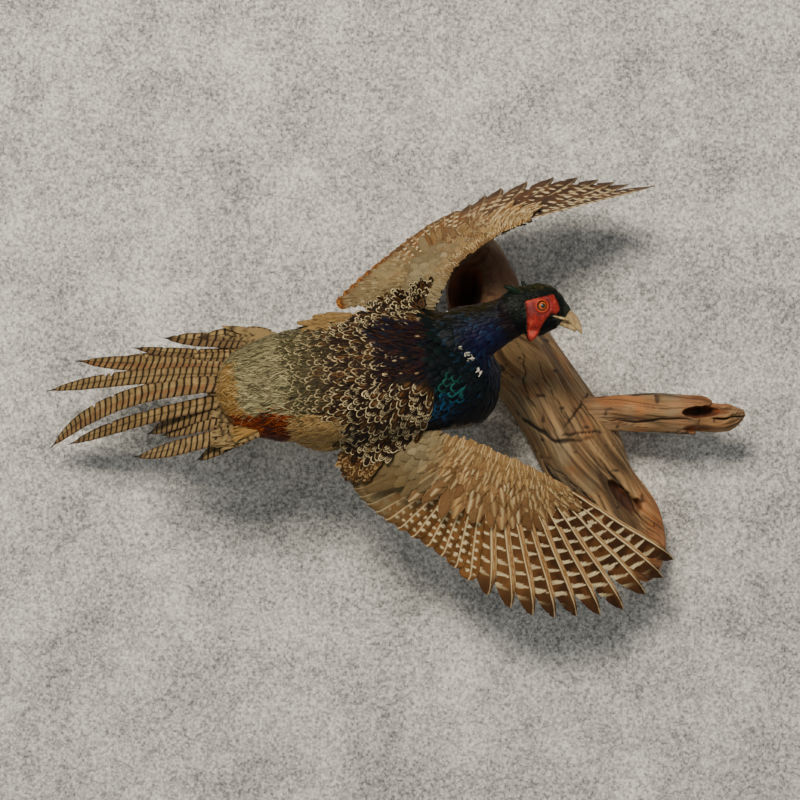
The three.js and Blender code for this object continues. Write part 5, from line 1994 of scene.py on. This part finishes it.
@dataclass
class Driftwood:
    """The weathered log, sawn flat where it meets the wall, its side branch and the steel rod."""

    log: Timber = Timber(
        "driftwood_log_wood",
        ((-116, -82, 196, 7, 11), (-115, -71, 184, 25, 38), (-116, -59, 162, 38, 63),
         (-113, -50, 132, 41, 72), (-92, -38, 96, 47, 70), (-58, -33, 52, 41, 59),
         (-28, -32, 4, 42, 62), (-2, -34, -40, 46, 61), (18, -30, -74, 41, 54),
         (42, -28, -110, 42, 56), (60, -26, -142, 34, 46), (72, -27, -166, 24, 36),
         (80, -30, -182, 8, 14)), 250, 380,
        (((-143, -100, 144), (26, 20, 50), 0.2), ((42, -79, -86), (8, 22, 27), -0.72),
         ((56, -76, -97), (8, 16, 11), 0.2)),
        ((((-106, 37), (-88, 15), (-60, -5), (-35, -22), (5, -21)), 3.2, 7.0),
         (((-108, 22), (-90, -3), (-68, -28), (-42, -57), (-10, -90)), 3.4, 6.0),
         (((-26, -10), (-12, 11), (4, 29), (13, 37)), 2.2, 6.0),
         (((-31, -19), (-10, -13), (20, -14)), 1.6, 5.0),
         (((-62, 81), (-52, 55), (-32, 19), (-20, -4)), 0.9, 2.0),
         (((-86, 91), (-72, 71), (-68, 34), (-54, 8)), 1.0, 2.5),
         (((-78, -20), (-44, -48), (-8, -78), (14, -120)), 1.0, 2.5),
         (((10, -40), (30, -62), (48, -84), (66, -120)), 2.0, 4.0),
         (((-128, 90), (-118, 60), (-104, 40)), 2.6, 6.0),
         (((-30, -60), (0, -84), (26, -118), (44, -150)), 1.4, 2.5)), 40, 0.1)
    branch: Timber = Branch(
        "driftwood_branch_wood",
        ((-14, -54, 6, 17, 19), (29, -60, 9, 19, 21), (60, -66, 9, 21, 23), (85, -70, 9, 22, 24.5),
         (112, -74, 8, 22, 25.5), (127, -76, 7, 21.5, 25), (134, -77, 4, 16.5, 19.5),
         (150, -79, 3, 15, 17.5), (165, -81, 5, 10.5, 12), (177, -82, 9, 3, 4)), 140, 220,
        (((128, -99, 10), (7, 24, 24), 1.5), ((126, -99, -11), (6.5, 22, 22), 1.62),
         ((160, -97, 15), (6, 12, 20), 1.2)),
        ((((8, 26), (50, 30), (110, 31), (140, 30)), 2.0, 4.0),
         (((20, 2), (60, -1), (100, 2), (118, 0)), 1.8, 4.0),
         (((30, -12), (70, -16), (108, -12)), 1.4, 3.0),
         (((138, 4), (150, 2), (176, 6)), 2.6, 8.0)), 60, 0.8)
    rod: tuple = ((-84, -66, 62, 4, 4), (-111, -117, 55, 4, 4), (-138, -168, 48, 4, 4))

    def pin(self) -> Grids:
        """The steel rod that holds the bird."""
        made = Grids("support_rod_steel")
        tube(made, self.rod, OUT, 28, 30, lambda points, t: linear("#8C8C8E"), WHOLE)
        return made


# ---------------------------------------------------------------- the room


def put_in_scene(name: str, data: bpy.types.ID) -> bpy.types.Object:
    """A new object in the scene."""
    made = bpy.data.objects.new(name, data)
    bpy.context.scene.collection.objects.link(made)
    return made


@dataclass
class Studio:
    """A plain plastered wall behind the mount, a floor far below, soft light and the camera."""

    eye: tuple = (-0.2096, -2.2, 0.0233)  # metres, as all sizes of the room
    lens: float = 85.0
    wall: float = 0.0015  # just behind the sawn back of the log
    floor: float = -1.2
    aim: tuple = (-0.2, -0.05, 0.0)
    lamps: tuple = (
        ("key", (-0.62, -2.3, 1.15), 0.62, 72, "#FFF2E0"), ("fill", (-1.9, -2.2, 0.2), 1.6, 7, "#EAF0FF"),
        ("side", (1.6, -2.0, 0.4), 1.4, 6, "#F4F6FF"), ("behind", (0.6, 1.9, 0.9), 1.6, 10, "#FFFFFF"),
    )  # name, place, size, power in watts and colour

    def plaster(self) -> bpy.types.Material:
        """Trowelled grey plaster: dull, with soft blotches a hand wide and a fine grit."""
        made, tree = blank("wall_plaster_trowelled")
        place = put(tree, "TexCoord").outputs["Object"]
        cloud, grit = (
            put(tree, "TexNoise", {"Vector": place, "Scale": scale, "Detail": detail, "Roughness": rough})
            for scale, detail, rough in ((11.0, 6.0, 0.6), (290.0, 3.0, 0.75)))
        both = put(tree, "Math", {0: grit, 1: 2.6, 2: cloud}, operation="MULTIPLY_ADD")
        ramp = put(tree, "MapRange", {0: both, 1: 1.3, 2: 2.3})
        colour = put(tree, "Mix", {0: ramp, 6: (*linear("#747776"), 1), 7: (*linear("#FAFAF4"), 1)},
                     data_type="RGBA")
        bump = put(tree, "Bump", {"Strength": 0.35, "Distance": 0.0015, "Height": both})
        plain = put(tree, "BsdfDiffuse", {"Color": colour, "Roughness": 0.6, "Normal": bump})
        # seen from behind, the wall is clear, and it throws no shadow on the mount
        gone = put(tree, "Math", {0: put(tree, "NewGeometry").outputs["Backfacing"],
                                  1: put(tree, "LightPath").outputs["Is Shadow Ray"]}, operation="MAXIMUM")
        mix = put(tree, "MixShader", {0: gone, 1: plain, 2: put(tree, "BsdfTransparent")})
        put(tree, "OutputMaterial", {0: mix})
        return made

    def build(self) -> None:
        """Sets up the room, the lights and the camera."""
        plaster, back, low = self.plaster(), self.wall, self.floor
        for name, near, high in (("wall", back, 2.4), ("floor", -4, low)):
            mesh = bpy.data.meshes.new(name)
            flat = [(-3, near, low), (3, near, low), (3, back, high), (-3, back, high)]
            mesh.from_pydata(flat, [], [(0, 1, 2, 3)])
            mesh.materials.append(plaster)
            put_in_scene(name, mesh)
        for name, place, size, power, colour in self.lamps:
            data = bpy.data.lights.new(name, "AREA")
            data.size, data.energy, data.color = size, power, tuple(linear(colour))
            lamp = put_in_scene(name, data)
            lamp.location = place
            lamp.rotation_euler = (Vector(self.aim) - Vector(place)).to_track_quat("-Z", "Y").to_euler()
        world = bpy.data.worlds.new("room_light")
        world.use_nodes = True
        sky = world.node_tree.nodes["Background"].inputs
        sky[0].default_value, sky[1].default_value = (*linear("#C4C8CC"), 1), 0.25
        bpy.context.scene.world = world
        data = bpy.data.cameras.new("camera")
        data.lens, data.sensor_width = self.lens, 36.0
        camera = put_in_scene("camera", data)
        camera.location, camera.rotation_euler = self.eye, (math.pi / 2, 0, 0)
        bpy.context.scene.camera = camera


# ---------------------------------------------------------------- putting it together


def place(made: bpy.types.Object, slot: str, nodes: Iterable[str] = ()) -> None:
    """Rides a piece on the mount, hides the parts of model.glb that it stands for, and reports it."""
    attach(made, "root")
    if nodes:
        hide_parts(*nodes)
    LOG.info("%s: %d faces", made.name, len(made.data.polygons))


def main() -> None:
    """Builds the bird, its stand and the room."""
    logging.basicConfig(level=logging.INFO, format="%(name)s: %(message)s")
    material = finishes()
    rng = np.random.default_rng(7)
    body = Body()
    flesh = ["trunk", "neck", "head", "thigh_right", "thigh_left", "wing_right_arm", "wing_left_arm"]
    place(body.build(material["hide"]), "plumage_back", flesh)

    coat = Coat(body, rng)
    coat.grow()
    glossy = {"coat_head": "plumage_head", "coat_neck": "plumage_neck", "coat_breast": "plumage_neck"}
    dull = {"coat_flank": "plumage_flank", "coat_thighs": "plumage_flank"}
    for name, grids in coat.pieces.items():
        made = grids.make(material["gloss" if name in glossy else "plume"])
        place(made, (glossy | dull).get(name, "plumage_back"))

    for side in ("right", "left"):
        wing = WingFeathers(side, rng)
        place(wing.coverts(f"wing_{side}_coverts").make(material["plume"]), "plumage_wing")
        for kind, hand in (("secondaries", False), ("primaries", True)):
            made = wing.flight(f"wing_{side}_{kind}_vanes", hand).make(material["flight"])
            place(made, "flight_feathers", [f"wing_{side}_{kind}"])

    tail = Tail(rng)
    place(tail.build("tail_vanes").make(material["flight"]), "tail_feathers", ["tail"])
    place(tail.coverts("tail_root_coverts").make(material["plume"]), "tail_feathers")

    head = Head(rng, body)
    for side, sign in (("right", 1), ("left", -1)):
        eye, skin = head.eye(sign, f"eye_{side}_glass"), head.bare_skin(sign, f"wattle_{side}_skin")
        place(eye.make(material["eye"], True), "glass_eye", [f"eye_{side}"])
        place(skin.make(material["wattle"]), "wattle_skin", [f"wattle_{side}"])
    for half in ("upper", "lower"):
        bill = head.bill(f"bill_{half}_horn", half == "upper")
        place(bill.make(material["horn"], True), "bill_horn", [f"bill_{half}"])
    place(head.ear_tufts("ear_tuft_feathers").make(material["gloss"]), "plumage_head",
          ["ear_tuft_right", "ear_tuft_left"])

    legs = {"right": Leg((-336, -137, -4), (-402, -119, 4)), "left": Leg((-336, -120, 29), (-402, -104, 33))}
    for side, leg in legs.items():
        made = leg.build(f"leg_{side}_scaled").make(material["scale"], True)
        place(made, "leg_scales", [f"leg_{side}"])

    stand = Driftwood()
    place(stand.log.build().make(material["wood"], True), "driftwood", ["driftwood_log"])
    place(stand.branch.build().make(material["wood"], True), "driftwood", ["driftwood_branch"])
    place(stand.pin().make(material["steel"], True), "steel_rod", ["support_rod"])

    Studio().build()


if __name__ == "__main__":
    main()
